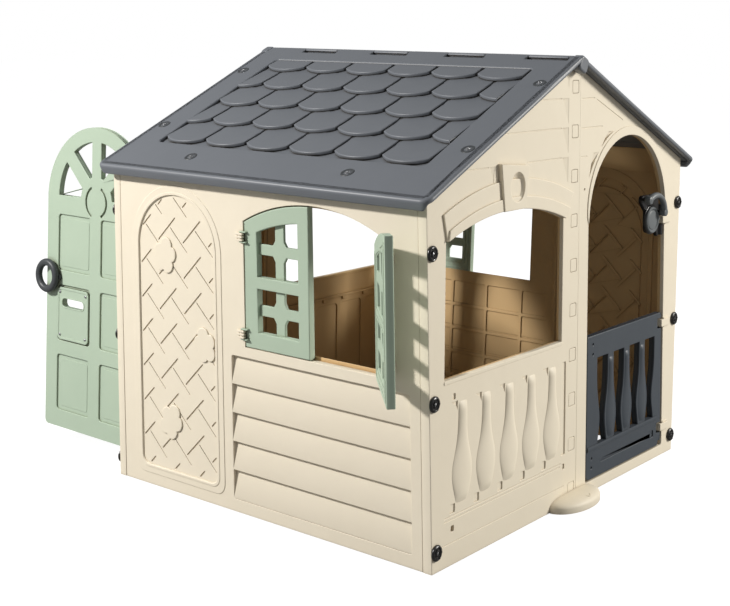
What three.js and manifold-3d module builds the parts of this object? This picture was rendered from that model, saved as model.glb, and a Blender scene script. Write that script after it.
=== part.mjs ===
// A child's plastic playhouse: four moulded walls, a two-panel roof, a full door at the back,
// a half gate at the front, four window shutters and a toy telephone in the doorway.
// Millimetres, +Z up. The origin is the centre of the footprint, on the ground.
// +X is to the right when the front gable is looked at, and the ridge runs along Y.

import * as THREE from 'three';
import * as BufferGeometryUtils from 'three/addons/utils/BufferGeometryUtils.js';
import Module from 'manifold-3d';

const wasm = await Module();
wasm.setup();

// ---------------------------------------------------------------- driving dimensions

const GAP = 0.3;                 // clearance between neighbouring pieces

const HALF_WIDTH = 588;          // half the width of the walls on the ground
const WALL_LEAN = 0.0466;        // the eave walls lean out by this much per unit of height
const GABLE_FACE = 515;          // distance of each gable's outer face from the centre
const GABLE_THICK = 20;          // thickness of the gable's flat skin
const CORNER_THICK = 25;         // thickness of the gable along its two upright edges
const CORNER_WIDTH = 40;
const WALL_THICK = 24;
const WALL_HALF = GABLE_FACE - CORNER_THICK - GAP;

const ROOF_TOP = 1142;           // height of the ridge
const ROOF_SLOPE = THREE.MathUtils.degToRad(24.8);
const ROOF_THICK = 14;
const ROOF_HALF_SPAN = 665;      // ridge to eave, measured on the level
const ROOF_HALF_LENGTH = 544;
const ROOF_LIP = 15;             // how far the eave's rim hangs below the roof's underside
const FIELD_DEPTH = 7;           // depth of the sunken shingle field

const SILL = 420;                // height of every window sill
const DOORWAY = { left: 90, right: 526, bottom: 28, top: 923 };
const DOOR_RADIUS = (DOORWAY.right - DOORWAY.left) / 2;
const DOOR_CENTRE = (DOORWAY.right + DOORWAY.left) / 2;
const DOOR_SPRING = DOORWAY.top - DOOR_RADIUS;
const LEAF_THICK = 18;           // thickness of the door and the gate
const CLIP_HEIGHTS = [81, 377, 671];

const LEAF_BACK = -LEAF_THICK - GAP;
const LEAF_FRONT = -GAP;
const DOOR_AXIS = { x: DOORWAY.right - 12, w: -LEAF_THICK / 2 - GAP };
const PIN_RADIUS = 3;
const PIN_PLAY = 0.4;
const DOOR_CLIP = { half: 10, ring: 7.5, arm: 6, reach: 28 };
const BAND = { width: 24, proud: 3, corner: 8 };     // raised band round the doorway
const DOOR_REST = THREE.MathUtils.degToRad(89);      // how far the door and two shutters stand open
const SHUTTER_REST = THREE.MathUtils.degToRad(134);

const SEAM = 40;                 // where the two halves of a gable meet
const LAP = 55;                  // how far the halves lap behind the seam
const TAB_FIRST = 35;
const TAB_PITCH = 114.1;
const TAB_COUNT = 10;
const TAB = { width: 30, half: 16 };

const BOLT_HEIGHTS = [46, 378, 712];
const BOLT_INSET = 14.5;
const BOLT_RADIUS = 5;
const BOLT_HOLE = 5.6;
const SCREW_RADIUS = 2.2;
const SCREW_PLAY = 0.4;
const RAKE_SCREWS = [160.7, 501.9];      // distances of the screws from the ridge, down the slope
const EAVE_SCREW = 650.4;
const EAVE_SCREW_SIDES = [-260, 260];
const SCREW_DEPTH = -10;                 // from the gable's outer face to the screws

// The gable's window with its hood, its keystone and the sunken panel of balusters below it.
const WINDOW = { left: -551, right: -39, spring: 732, top: 778 };
const HOOD = { left: -567, right: 4, bottom: 727, spring: 795, top: 850, proud: 5 };
const HOOD_STEP = { left: -545, right: -18, bottom: 727, spring: 757, top: 808, proud: 9 };
const KEYSTONE = { x: -288.5, low: 775, high: 880, foot: 45, head: 65, proud: 14 };
const BOSS = { z: 830, across: 28, up: 40, proud: 20 };
const RAIL = { left: -548, right: -22, bottom: 130, top: 372, corner: 8, depth: 6 };
const VASE_CENTRES = [-477, -380, -281, -182, -84];
const VASE = { narrow: 17, wide: 40 };

// The eave wall: its window, its five lapped boards and its arched panel.
const SIDE_WINDOW = { left: -43, right: 401, spring: 730, top: 787 };
const STOP = 8;                  // the lip that a closed shutter rests on
const REBATE = 21;               // depth of the pocket that takes the closed shutters
const BOARD_TOP = 392;
const BOARD_BOTTOM = 32;
const BOARD_COUNT = 5;
const BOARD_LEFT = -90;
const BOARD_RIGHT = 460;
const BOARD = { root: -12, thin: -7, thick: -1 };    // depths of a board's back, top and bottom edges
const ARCH_CENTRE = -283;
const ARCH_RIM = { half: 163, bottom: 30, top: 797, corner: 30, proud: 3 };
const ARCH_FIELD = { half: 137, bottom: 54, top: 771, corner: 22, depth: 1.5 };
const LEDGE = 60;                // depth of the ledge that carries the roof
const LEDGE_THICK = 16;
const LEDGE_FOOT = 790;          // where the ledge's sloping underside leaves the wall

// The shutters.
const SHUTTER_CLIPS = [452, 692];
const SHUTTER_AXIS = { out: 6, beyond: 3 };
const SHUTTER_PIN = 2.4;
const SHUTTER_WIDTH = 210;       // from the window's edge to the leaf's free edge
const SHUTTER_THICK = 20.5;      // depth of a closed shutter's inner face
const STILE = { hinge: 42, free: 34 };
const PANES = [{ low: 460, high: 568, bar: 514 }, { low: 597, high: 740, bar: 664 }];
const CROSS = { upright: 14, level: 13, boss: 27, back: -19, front: -10 };

// The back door.
const FAN = { hub: 68, rim: 166, level: 706, spoke: 20, slant: 22 };
const DOOR_ROWS = [[92, 251], [292, 452], [494, 655]];
const PANEL = { shift: 94, half: 72, corner: 10, depth: 5 };
const LETTER = { x: DOOR_CENTRE - PANEL.shift, z: 371, width: 138, height: 150, slotZ: 403 };
const RING = { x: 108, z: 474, outer: 49, inner: 30, back: 5, front: 20, pegX: 146, peg: 5 };

// The front gate.
const GATE = { bottom: 32, top: 407, rail: 345, base: 112, corner: 14 };
const GATE_VASE = { first: 132, pitch: 90, narrow: 16, wide: 32 };
const GATE_GROOVE = { left: 171, right: 466, low: 66, high: 74 };

// The toy telephone: its back plate snaps on to the top clip of the front doorway.
const PHONE = { x: 452, z: 676, left: 398, low: 622, high: 742, dial: 37, hub: 6, back: LEAF_BACK + 11 };
const BOW = { x: 438, z: 680, radius: 55, half: 11, from: 0.1, to: 2.3 };
const CUPS = [2.25, 0.2].map((a) => [BOW.x + BOW.radius * Math.cos(a), BOW.z + BOW.radius * Math.sin(a)]);

// The roof panel, measured down its own slope from the ridge.
const ROOF_RUN = ROOF_HALF_SPAN / Math.cos(ROOF_SLOPE);
const FIELD = { top: -80, bottom: -590, side: 440 };
const ROWS = 5;
const ACROSS = 6;
const TONGUE = { length: 128, reach: 8, top: -4, bottom: -12, play: 1.5 };

const THROUGH = 60;              // cutters reach this far to either side of a panel's face

// ---------------------------------------------------------------- materials

const plastic = (color, roughness) => new THREE.MeshStandardMaterial({ color, roughness, metalness: 0 });
const CREAM = plastic(0xe9dcc3, 0.55);
const SLATE = plastic(0x5c636d, 0.5);
const SAGE = plastic(0xb4c9b4, 0.5);
const BLACK = plastic(0x17181a, 0.4);
const STEEL = new THREE.MeshStandardMaterial({ color: 0x9a9da1, roughness: 0.35, metalness: 1 });

// ---------------------------------------------------------------- solids

function solid(geometry) {
  const bare = geometry.index ? geometry.toNonIndexed() : geometry;
  bare.deleteAttribute('normal');
  bare.deleteAttribute('uv');
  const merged = BufferGeometryUtils.mergeVertices(bare, 1e-4);
  return new wasm.Manifold(new wasm.Mesh({
    numProp: 3,
    vertProperties: new Float32Array(merged.attributes.position.array),
    triVerts: new Uint32Array(merged.index.array),
  }));
}

// Joins all the solids of a list.
const join = (list) => list.reduce((whole, one) => whole.add(one));

// Takes every solid of a list away from the first one.
const cut = (body, list) => list.reduce((rest, one) => rest.subtract(one), body);

function block(x0, x1, y0, y1, z0, z1) {
  const geometry = new THREE.BoxGeometry(x1 - x0, y1 - y0, z1 - z0);
  return solid(geometry.translate((x0 + x1) / 2, (y0 + y1) / 2, (z0 + z1) / 2));
}

// A flat shape in the panel's own plane, given thickness along the panel's normal.
function plate(shape, back, front, segments = 5) {
  const settings = { depth: front - back, bevelEnabled: false, curveSegments: segments };
  return solid(new THREE.ExtrudeGeometry(shape, settings).translate(0, 0, back));
}

// Cutters that go right through a panel: any flat shape, and a plain rectangle.
const through = (shape, segments) => plate(shape, -THROUGH, THROUGH, segments);
const hole = (x0, x1, y0, y1) => block(x0, x1, y0, y1, -THROUGH, THROUGH);

// A profile given as [up, out] points, drawn along the panel from side to side.
function moulding(points, from, to) {
  const shape = new THREE.Shape(points.map(([up, out]) => new THREE.Vector2(up, out)));
  const geometry = new THREE.ExtrudeGeometry(shape, { depth: to - from, bevelEnabled: false });
  geometry.translate(0, 0, from);
  const turn = new THREE.Matrix4().makeBasis(
    new THREE.Vector3(0, 1, 0), new THREE.Vector3(0, 0, 1), new THREE.Vector3(1, 0, 0));
  return solid(geometry.applyMatrix4(turn));
}

// A round rod between two points.
function rod(start, end, radius, sides = 8) {
  const a = new THREE.Vector3(...start);
  const b = new THREE.Vector3(...end);
  const along = b.clone().sub(a);
  const geometry = new THREE.CylinderGeometry(radius, radius, along.length(), sides);
  geometry.applyQuaternion(new THREE.Quaternion().setFromUnitVectors(
    new THREE.Vector3(0, 1, 0), along.clone().normalize()));
  return solid(geometry.translate(...a.add(b).multiplyScalar(0.5).toArray()));
}

function rounded(x0, x1, y0, y1, radius) {
  const shape = new THREE.Shape();
  shape.absarc(x1 - radius, y1 - radius, radius, 0, Math.PI / 2);
  shape.absarc(x0 + radius, y1 - radius, radius, Math.PI / 2, Math.PI);
  shape.absarc(x0 + radius, y0 + radius, radius, Math.PI, 1.5 * Math.PI);
  shape.absarc(x1 - radius, y0 + radius, radius, 1.5 * Math.PI, 2 * Math.PI);
  return shape;
}

const polygon = (points) => new THREE.Shape(points.map(([x, y]) => new THREE.Vector2(x, y)));

function circle(x, y, radius) {
  return new THREE.Shape().absarc(x, y, radius, 0, 2 * Math.PI);
}

// A shape with straight sides, a flat bottom and a segmental arch on top.
function arched(x0, x1, bottom, spring, top) {
  const half = (x1 - x0) / 2;
  const rise = top - spring;
  const radius = (half * half + rise * rise) / (2 * rise);
  const reach = Math.asin(Math.min(1, half / radius));
  const shape = new THREE.Shape();
  shape.moveTo(x0, bottom);
  shape.lineTo(x1, bottom);
  shape.absarc((x0 + x1) / 2, top - radius, radius, Math.PI / 2 - reach, Math.PI / 2 + reach);
  return shape;
}

// The same, with a half-round top and rounded bottom corners.
function doorShape(x0, x1, bottom, top, corner) {
  const radius = (x1 - x0) / 2;
  const shape = new THREE.Shape();
  shape.absarc((x0 + x1) / 2, top - radius, radius, 0, Math.PI);
  shape.absarc(x0 + corner, bottom + corner, corner, Math.PI, 1.5 * Math.PI);
  shape.absarc(x1 - corner, bottom + corner, corner, 1.5 * Math.PI, 2 * Math.PI);
  return shape;
}

function toGeometry(manifold) {
  const mesh = manifold.getMesh();
  const geometry = new THREE.BufferGeometry();
  geometry.setAttribute('position', new THREE.BufferAttribute(new Float32Array(mesh.vertProperties), 3));
  geometry.setIndex(new THREE.BufferAttribute(new Uint32Array(mesh.triVerts), 1));
  return geometry;
}

function piece(name, body, material) {
  const mesh = new THREE.Mesh(toGeometry(body), material);
  mesh.name = name;
  return mesh;
}

// ---------------------------------------------------------------- frames of the panels

// A panel's frame: x runs to the right as seen from outside, y runs up the panel, z points out.
function gableFrame() {
  const frame = new THREE.Group();
  frame.rotation.x = Math.PI / 2;
  frame.position.y = -GABLE_FACE;
  return frame;
}

// The frame of a panel on the left side that rises at the given angle from level.
function sideFrame(angle, x, z) {
  const frame = new THREE.Group();
  frame.quaternion.setFromRotationMatrix(new THREE.Matrix4().makeBasis(
    new THREE.Vector3(0, -1, 0),
    new THREE.Vector3(Math.cos(angle), 0, Math.sin(angle)),
    new THREE.Vector3(-Math.sin(angle), 0, Math.cos(angle))));
  frame.position.set(x, 0, z);
  return frame;
}

const WALL_ANGLE = Math.PI / 2 + Math.atan(WALL_LEAN);
const wallFrame = () => sideFrame(WALL_ANGLE, -HALF_WIDTH, 0);
const roofFrame = () => sideFrame(ROOF_SLOPE, 0, ROOF_TOP);

const wallX = (z) => HALF_WIDTH + WALL_LEAN * z;

// Height of the roof's underside, less the gap, at a distance x from the ridge.
const ROOF_FALL = Math.tan(ROOF_SLOPE);
const UNDER_RIDGE = ROOF_TOP - (ROOF_THICK + GAP) / Math.cos(ROOF_SLOPE);
const underRoof = (x) => UNDER_RIDGE - ROOF_FALL * Math.abs(x);
const EAVE_HEIGHT = (UNDER_RIDGE - ROOF_FALL * HALF_WIDTH) / (1 + ROOF_FALL * WALL_LEAN);

// Where the roof's underside crosses a wall, up the wall's own frame, at a depth w.
function wallTop(w) {
  const c = Math.cos(WALL_ANGLE);
  const s = Math.sin(WALL_ANGLE);
  return (UNDER_RIDGE - ROOF_FALL * (HALF_WIDTH + w * s) - w * c) / (s - ROOF_FALL * c);
}

const wallFoot = (w) => -w * Math.cos(WALL_ANGLE) / Math.sin(WALL_ANGLE);

// ---------------------------------------------------------------- hinge clips

// A clip on the jamb that snaps round an upright pin just inside the doorway's edge.
function doorClip(height) {
  const { x, w } = DOOR_AXIS;
  const { half, arm, reach } = DOOR_CLIP;
  const [low, high, end] = [height - half, height + half, DOORWAY.right + reach];
  const ring = rod([x, low, w], [x, high, w], DOOR_CLIP.ring, 10);
  const neck = block(x - arm, x + arm, low, high, -arm, arm);
  const strap = block(x - arm, end, low, high, 2 * GAP, arm);
  const foot = block(DOORWAY.right + 1, end, low, high, -2, 2);
  const bore = rod([x, low - 10, w], [x, high + 10, w], PIN_RADIUS + PIN_PLAY, 10);
  return cut(join([ring, neck, strap, foot]), [bore]);
}

// The room that one clip needs in the edge of a leaf, with the pin that crosses it.
function pinned(leaf, heights) {
  const { x, w } = DOOR_AXIS;
  const room = DOOR_CLIP.half + 4;
  const notches = heights.map((h) => hole(x - 20, x + 20, h - room, h + room));
  const pins = heights.map((h) => rod([x, h - room - 1, w], [x, h + room + 1, w], PIN_RADIUS));
  return join([cut(leaf, notches), ...pins]);
}

// The half-round edge that lets a leaf turn inside the doorway.
function hingeEdge(bottom, top) {
  const { x, w } = DOOR_AXIS;
  return rod([x, bottom, w], [x, top, w], LEAF_THICK / 2, 12);
}

// ---------------------------------------------------------------- gables

function gableOutline(x0, x1) {
  const points = [[x0, 0], [x1, 0]];
  if (x1 > SEAM) points.push([wallX(EAVE_HEIGHT), EAVE_HEIGHT]);
  else points.push([x1, underRoof(x1)]);
  if (x0 < 0) points.push([0, UNDER_RIDGE], [-wallX(EAVE_HEIGHT), EAVE_HEIGHT]);
  else points.push([x0, underRoof(x0)]);
  return polygon(points);
}

// The thicker upright edge where a gable bolts on to a wall; side is -1 or 1.
function cornerPost(side) {
  const top = EAVE_HEIGHT;
  const inner = wallX(top) - CORNER_WIDTH;
  const outline = [
    [side * (wallX(0) - CORNER_WIDTH), 0], [side * wallX(0), 0],
    [side * wallX(top), top], [side * inner, underRoof(inner)],
  ];
  return plate(polygon(side > 0 ? outline : outline.reverse()), -CORNER_THICK, 0);
}

function boltHoles(side) {
  return BOLT_HEIGHTS.map((z) => {
    const x = side * (wallX(z) - BOLT_INSET);
    return rod([x, z, -THROUGH], [x, z, THROUGH], BOLT_HOLE);
  });
}

// Holes in a gable's top edge for the roof screws of one slope, 45 mm deep.
function rakeHoles(side) {
  const [above, below] = [5, 45];
  const sine = Math.sin(ROOF_SLOPE);
  const cosine = Math.cos(ROOF_SLOPE);
  return RAKE_SCREWS.map((down) => {
    const x = side * down * cosine;
    const z = ROOF_TOP - down * sine;
    const tip = [x - side * sine * below, z - cosine * below, SCREW_DEPTH];
    const start = [x + side * sine * above, z + cosine * above, SCREW_DEPTH];
    return rod(start, tip, SCREW_RADIUS + SCREW_PLAY, 6);
  });
}

// One vase-shaped baluster, standing on the given base line.
function vase(x, bottom, top, { narrow, wide }) {
  const right = [];
  const steps = 6;
  for (let i = 0; i <= steps; i++) {
    const t = i / steps;
    right.push([balusterHalf(t, narrow, wide), bottom + t * (top - bottom)]);
  }
  const left = right.map(([half, y]) => [x - half, y]).reverse();
  return polygon([...right.map(([half, y]) => [x + half, y]), ...left]);
}

// Half the width of a baluster at a fraction of its height: a belly low down and a slim neck.
function balusterHalf(t, narrow, wide) {
  const [level, spread] = [0.3, 0.26];
  const belly = Math.exp(-(((t - level) / spread) ** 2));
  return narrow + (wide - narrow) * belly;
}

// The two-stepped moulding over the window.
function hood() {
  const steps = [HOOD, HOOD_STEP].map(({ left, right, bottom, spring, top, proud }) =>
    plate(arched(left, right, bottom, spring, top), -2, proud));
  return cut(join(steps), [windowHole()]);
}

const windowHole = () => through(arched(WINDOW.left, WINDOW.right, SILL, WINDOW.spring, WINDOW.top));

function keystone() {
  const { x, low, high, foot, head, proud } = KEYSTONE;
  const wedge = polygon([[x - foot, low], [x + foot, low], [x + head, high], [x - head, high]]);
  const boss = new THREE.Shape().absellipse(x, BOSS.z, BOSS.across, BOSS.up, 0, 2 * Math.PI);
  return join([plate(wedge, -2, proud), plate(boss, -2, BOSS.proud)]);
}

// The sunken field under the window, and the balusters that stand in it.
function balusterPanel() {
  const { left, right, bottom, top, corner, depth } = RAIL;
  const field = plate(rounded(left, right, bottom, top, corner), -depth, 5, 1);
  const vases = VASE_CENTRES.map((x) => plate(vase(x, bottom, top, VASE), -depth - 1, 0));
  return { field, vases };
}

// The rectangular lugs of one half that show through the other half's post, grown by a margin.
function tabs(grow, back, front) {
  const list = [];
  for (let i = 0; i < TAB_COUNT; i++) {
    const z = TAB_FIRST + i * TAB_PITCH;
    const half = TAB.half + grow;
    list.push(block(-grow, TAB.width + grow, z - half, z + half, back, front));
  }
  return list;
}

function gableWindowHalf() {
  const skin = plate(gableOutline(-HALF_WIDTH, SEAM - GAP / 2), -GABLE_THICK, 0);
  const lap = block(SEAM - LAP, SEAM + 5, -5, ROOF_TOP, -THROUGH, -GABLE_THICK / 2);
  const panel = balusterPanel();
  const raised = join([skin, cornerPost(-1), hood(), keystone()]);
  const hollowed = cut(raised, [windowHole(), lap, panel.field]);
  const base = join([hollowed, ...panel.vases]);
  return cut(base, [...tabs(GAP, -GABLE_THICK, 5), ...boltHoles(-1), ...rakeHoles(-1)]);
}

function gableDoorHalf() {
  const skin = plate(gableOutline(SEAM + GAP / 2, HALF_WIDTH), -GABLE_THICK, 0);
  const tongueTop = underRoof(SEAM) - 1;
  const tongue = block(SEAM - LAP + GAP, SEAM + 5, 0, tongueTop, -GABLE_THICK, -GABLE_THICK / 2 - GAP);
  const { left, right, bottom, top } = DOORWAY;
  const { width, proud, corner } = BAND;
  const opening = through(doorShape(left, right, bottom, top, corner), 9);
  const band = cut(plate(doorShape(left - width, right + width, bottom, top + width, corner), -2, proud, 9),
    [hole(left - 2 * width, right + 2 * width, -20, DOOR_SPRING)]);
  const lugs = tabs(0, -GABLE_THICK / 2 - 2, 0);
  const raised = join([skin, tongue, ...lugs, cornerPost(1), band]);
  const trimmed = cut(raised, [opening, rampOver(1), ...boltHoles(1), ...rakeHoles(1)]);
  return join([trimmed, ...CLIP_HEIGHTS.map(doorClip)]);
}

// Everything above the roof's underside on one side, to trim a raised band that meets it.
function rampOver(side) {
  const far = side * (ROOF_HALF_SPAN + 100);
  const high = ROOF_TOP + 100;
  return through(polygon([[0, UNDER_RIDGE], [far, underRoof(far)], [far, high], [0, high]]));
}

// ---------------------------------------------------------------- eave walls

function wallBody() {
  const out = [[wallFoot(0), 0], [wallTop(0), 0]];
  const nose = wallTop(-LEDGE);
  const ledge = [[nose, -LEDGE], [nose - LEDGE_THICK, -LEDGE], [LEDGE_FOOT, -WALL_THICK]];
  const back = [[wallFoot(-WALL_THICK), -WALL_THICK]];
  return moulding([...out, ...ledge, ...back].reverse(), -WALL_HALF, WALL_HALF);
}

// The five lapped boards, each thin at its top edge and full at its bottom edge.
function boards() {
  const pitch = (BOARD_TOP - BOARD_BOTTOM) / BOARD_COUNT;
  const list = [];
  for (let i = 0; i < BOARD_COUNT; i++) {
    const low = BOARD_BOTTOM + i * pitch;
    const high = low + pitch;
    const profile = [[low, BOARD.root], [high, BOARD.root], [high, BOARD.thin], [low, BOARD.thick]];
    list.push(moulding(profile.reverse(), BOARD_LEFT - 1, BOARD_RIGHT + 1));
  }
  return list;
}

// The arched panel's raised rim, and the shallow field that is cut into it.
function archPanel() {
  const outline = ({ half, bottom, top, corner }) =>
    doorShape(ARCH_CENTRE - half, ARCH_CENTRE + half, bottom, top, corner);
  const rim = plate(outline(ARCH_RIM), -2, ARCH_RIM.proud, 6);
  const field = plate(outline(ARCH_FIELD), -ARCH_FIELD.depth, THROUGH, 6);
  return { rim, field };
}

function sideWall() {
  const { left, right, spring, top } = SIDE_WINDOW;
  const rebate = plate(arched(left, right, SILL - 2, spring, top), -REBATE, THROUGH);
  const inner = through(arched(left + STOP, right - STOP, SILL + STOP - 2, spring - STOP, top - STOP));
  const recess = block(BOARD_LEFT, BOARD_RIGHT, BOARD_BOTTOM, BOARD_TOP, BOARD.root + 2, THROUGH);
  const arch = archPanel();
  const holes = BOLT_HEIGHTS.flatMap((z) => {
    const [v, w] = onWall(wallX(z) - BOLT_INSET, z);
    const [end, depth] = [WALL_HALF + 10, WALL_HALF - 34];
    return [[-end, -depth], [depth, end]].map(([a, b]) => rod([a, v, w], [b, v, w], BOLT_HOLE));
  });
  const body = cut(wallBody().add(arch.rim), [arch.field, rebate, inner, recess]);
  const clipAt = [[left, -1], [right, 1]];
  const clips = clipAt.flatMap(([edge, side]) => SHUTTER_CLIPS.map((h) => shutterClip(edge, side, h)));
  return join([cut(body.add(join(boards())), [...holes, ...eaveHoles()]), ...clips]);
}

// A point of the left wall's cross-section, from distance to the middle and height.
function onWall(x, z) {
  const dx = HALF_WIDTH - x;
  const v = dx * Math.cos(WALL_ANGLE) + z * Math.sin(WALL_ANGLE);
  const w = -dx * Math.sin(WALL_ANGLE) + z * Math.cos(WALL_ANGLE);
  return [v, w];
}

// Holes in the wall's ledge for the two eave screws.
function eaveHoles() {
  const depth = 50;
  const [sine, cosine] = [Math.sin(ROOF_SLOPE), Math.cos(ROOF_SLOPE)];
  const top = [EAVE_SCREW * cosine, ROOF_TOP - EAVE_SCREW * sine];
  const [v0, w0] = onWall(...top);
  const [v1, w1] = onWall(top[0] - depth * sine, top[1] - depth * cosine);
  return EAVE_SCREW_SIDES.map((u) => rod([u, v0, w0], [u, v1, w1], SCREW_RADIUS + SCREW_PLAY, 6));
}

// ---------------------------------------------------------------- shutters

// A ring that stands on the wall beside the window and holds a shutter's pin.
function shutterClip(edge, side, height) {
  const x = edge + side * SHUTTER_AXIS.beyond;
  const half = 8;
  const [low, high, w] = [height - half, height + half, SHUTTER_AXIS.out];
  const ring = rod([x, low, w], [x, high, w], 2 * SHUTTER_PIN + 0.6);
  const reach = [x, edge + side * 22].sort((a, b) => a - b);
  const base = block(reach[0], reach[1], low, high, -2, w - 1);
  const bore = rod([x, low - 10, w], [x, high + 10, w], SHUTTER_PIN + PIN_PLAY + 0.1);
  return cut(join([ring, base]), [bore]);
}

// A shutter that closes one half of a side window. It is drawn shut; side is -1 for the leaf that
// hangs on the window's left edge and 1 for the one on its right edge.
function shutter(side) {
  const { left, right, spring, top } = SIDE_WINDOW;
  const edge = side > 0 ? right : left;
  const [near, far] = [edge - side * 2, edge - side * SHUTTER_WIDTH];
  const between = (a, b) => [Math.min(a, b), Math.max(a, b)];
  const leaf = plate(arched(left + 2, right - 2, SILL, spring - 2, top - 3), -SHUTTER_THICK, -0.5, 4)
    .intersect(hole(...between(near, far), 0, ROOF_TOP));
  const [from, to] = between(near - side * STILE.hinge, far + side * STILE.free);
  const [lower, upper] = PANES;
  const arch = arched(left + STILE.hinge, right - STILE.hinge, upper.low, spring - 28, top - 42);
  const panes = [
    hole(from, to, lower.low, lower.high),
    through(arch, 4).intersect(hole(from, to, upper.low - 5, ROOF_TOP)),
  ];
  const crosses = PANES.map((pane) => cross((from + to) / 2, from - 3, to + 3, pane));
  const lugs = SHUTTER_CLIPS.flatMap((h) => [shutterLug(edge, side, h - 14), shutterLug(edge, side, h + 9)]);
  const [x, w] = [edge + side * SHUTTER_AXIS.beyond, SHUTTER_AXIS.out];
  const pins = SHUTTER_CLIPS.map((h) => rod([x, h - 12, w], [x, h + 12, w], SHUTTER_PIN, 6));
  return join([cut(leaf, panes), ...crosses, ...lugs, ...pins]);
}

// The glazing cross of one pane, with an eight-sided boss where its bars meet.
function cross(x, from, to, { low, high, bar }) {
  const { upright, level, boss, back, front } = CROSS;
  return join([
    block(x - upright, x + upright, low - 3, high, back, front),
    block(from, to, bar - level, bar + level, back, front),
    plate(octagon(x, bar, boss), back, front),
  ]);
}

function octagon(x, y, radius) {
  const points = [];
  for (let i = 0; i < 8; i++) {
    const a = (i + 0.5) * Math.PI / 4;
    points.push([x + radius * Math.cos(a), y + radius * Math.sin(a)]);
  }
  return polygon(points);
}

// An arm from the shutter's face to its pin, 5 mm tall.
function shutterLug(edge, side, bottom) {
  const x = edge + side * SHUTTER_AXIS.beyond;
  const span = (near, far) => [Math.min(near, far), Math.max(near, far)];
  const inner = edge - side * 14;
  const arm = block(...span(x + side * 2.5, inner), bottom, bottom + 5, 1.2, SHUTTER_AXIS.out + 5);
  const root = block(...span(edge - side * 2.5, inner), bottom, bottom + 5, -3, 2);
  return arm.add(root);
}

// ---------------------------------------------------------------- door, gate and telephone

// The back door's bare leaf, with its half-round hinge edge below the arch.
function archedLeaf(bottom, top) {
  const { left } = DOORWAY;
  const body = plate(doorShape(left + 3, DOORWAY.right - 3, bottom, top, 12), LEAF_BACK, LEAF_FRONT, 9);
  const edgeCut = hole(DOOR_AXIS.x, DOORWAY.right + 5, 0, DOOR_SPRING - 10);
  return join([cut(body, [edgeCut]), hingeEdge(bottom + 6, DOOR_SPRING - 10)]);
}

// The openings of the fan light: two on each side of the upright spoke.
function fanOpenings() {
  const { hub, rim, level, spoke, slant } = FAN;
  const x = DOOR_CENTRE;
  const ring = cut(through(circle(x, level, rim), 9), [through(circle(x, level, hub), 6)]);
  const below = hole(x - 2 * rim, x + 2 * rim, level - 2 * rim, level + 6);
  const upright = hole(x - spoke, x + spoke, level - hub, level + 2 * rim);
  const across = slant * Math.SQRT1_2;
  const end = 1.5 * rim * Math.SQRT1_2;
  const slants = [1, -1].map((side) => {
    const points = [
      [x - side * across, level + across], [x + side * across, level - across],
      [x + side * (end + across), level + end - across], [x + side * (end - across), level + end + across],
    ];
    return through(polygon(side > 0 ? points : points.reverse()));
  });
  return cut(ring, [below, upright, ...slants]);
}

function backDoor() {
  const leaf = archedLeaf(44, 912);
  const { shift, half, corner, depth } = PANEL;
  const panels = DOOR_ROWS.flatMap(([low, high]) => [-shift, shift].map((across) => {
    const x = DOOR_CENTRE + across;
    return plate(rounded(x - half, x + half, low, high, corner), -depth, THROUGH, 1);
  }));
  const peg = rod([RING.pegX, RING.z, -12], [RING.pegX, RING.z, 10], RING.peg + GAP);
  const screws = letterScrews().map(([x, z]) => rod([x, z, -14], [x, z, 5], SCREW_RADIUS, 6));
  const shoulder = hole(DOOR_AXIS.x - 16, DOORWAY.right + 5, DOOR_SPRING - 10, 810);
  const openings = [fanOpenings(), letterSlot(50, 14), shoulder, peg];
  return pinned(cut(leaf, [...panels, ...openings, ...screws]), CLIP_HEIGHTS);
}

// The letter slot, given half its width and half its height.
function letterSlot(across, up) {
  const { x, slotZ } = LETTER;
  return through(rounded(x - across, x + across, slotZ - up, slotZ + up, up - 1), 2);
}

function letterScrews() {
  const dx = LETTER.width / 2 - 12;
  const dz = LETTER.height / 2 - 14;
  return [[-dx, -dz], [dx, -dz], [-dx, dz], [dx, dz]].map(([x, z]) => [LETTER.x + x, LETTER.z + z]);
}

function letterPlate() {
  const { x, z, width, height } = LETTER;
  const outline = rounded(x - width / 2, x + width / 2, z - height / 2, z + height / 2, 14);
  const holes = letterScrews().map(([a, b]) => rod([a, b, -14], [a, b, 5], SCREW_RADIUS, 6));
  return cut(plate(outline, GAP - PANEL.depth, 3, 2), [letterSlot(48, 12), ...holes]);
}

function letterScrew([x, z]) {
  const [shank, head] = [1.8, 4];
  return join([rod([x, z, -11], [x, z, 4], shank, 6), rod([x, z, 3 + GAP], [x, z, 5], head)]);
}

// The pull ring stands off the door's free edge on a peg.
function pullRing() {
  const { x, z, outer, inner, back, front, pegX, peg } = RING;
  const bore = rod([x, z, 0], [x, z, THROUGH], inner, 24);
  const body = cut(rod([x, z, back], [x, z, front], outer, 24), [bore]);
  return body.add(rod([pegX, z, -10], [pegX, z, back + 2], peg));
}

function gate() {
  const { bottom, top, rail, base, corner } = GATE;
  const { first, pitch } = GATE_VASE;
  const outline = rounded(DOORWAY.left + 4, DOORWAY.right - 3, bottom, top, corner);
  const edgeCut = hole(DOOR_AXIS.x, DOORWAY.right + 5, 0, top + 5);
  const leaf = cut(plate(outline, LEAF_BACK, LEAF_FRONT, 2), [edgeCut]);
  const body = leaf.add(hingeEdge(bottom + 8, top - 8));
  const field = hole(first + 10, first + 4 * pitch - 10, base, rail);
  const vases = [0, 1, 2, 3, 4].map((i) => through(vase(first + i * pitch, base - 1, rail + 1, GATE_VASE)));
  const { left, right, low, high } = GATE_GROOVE;
  const groove = plate(rounded(left, right, low, high, 4), -5, 5, 1);
  return pinned(cut(body, [cut(field, vases), groove]), CLIP_HEIGHTS.slice(0, 2));
}

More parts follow.
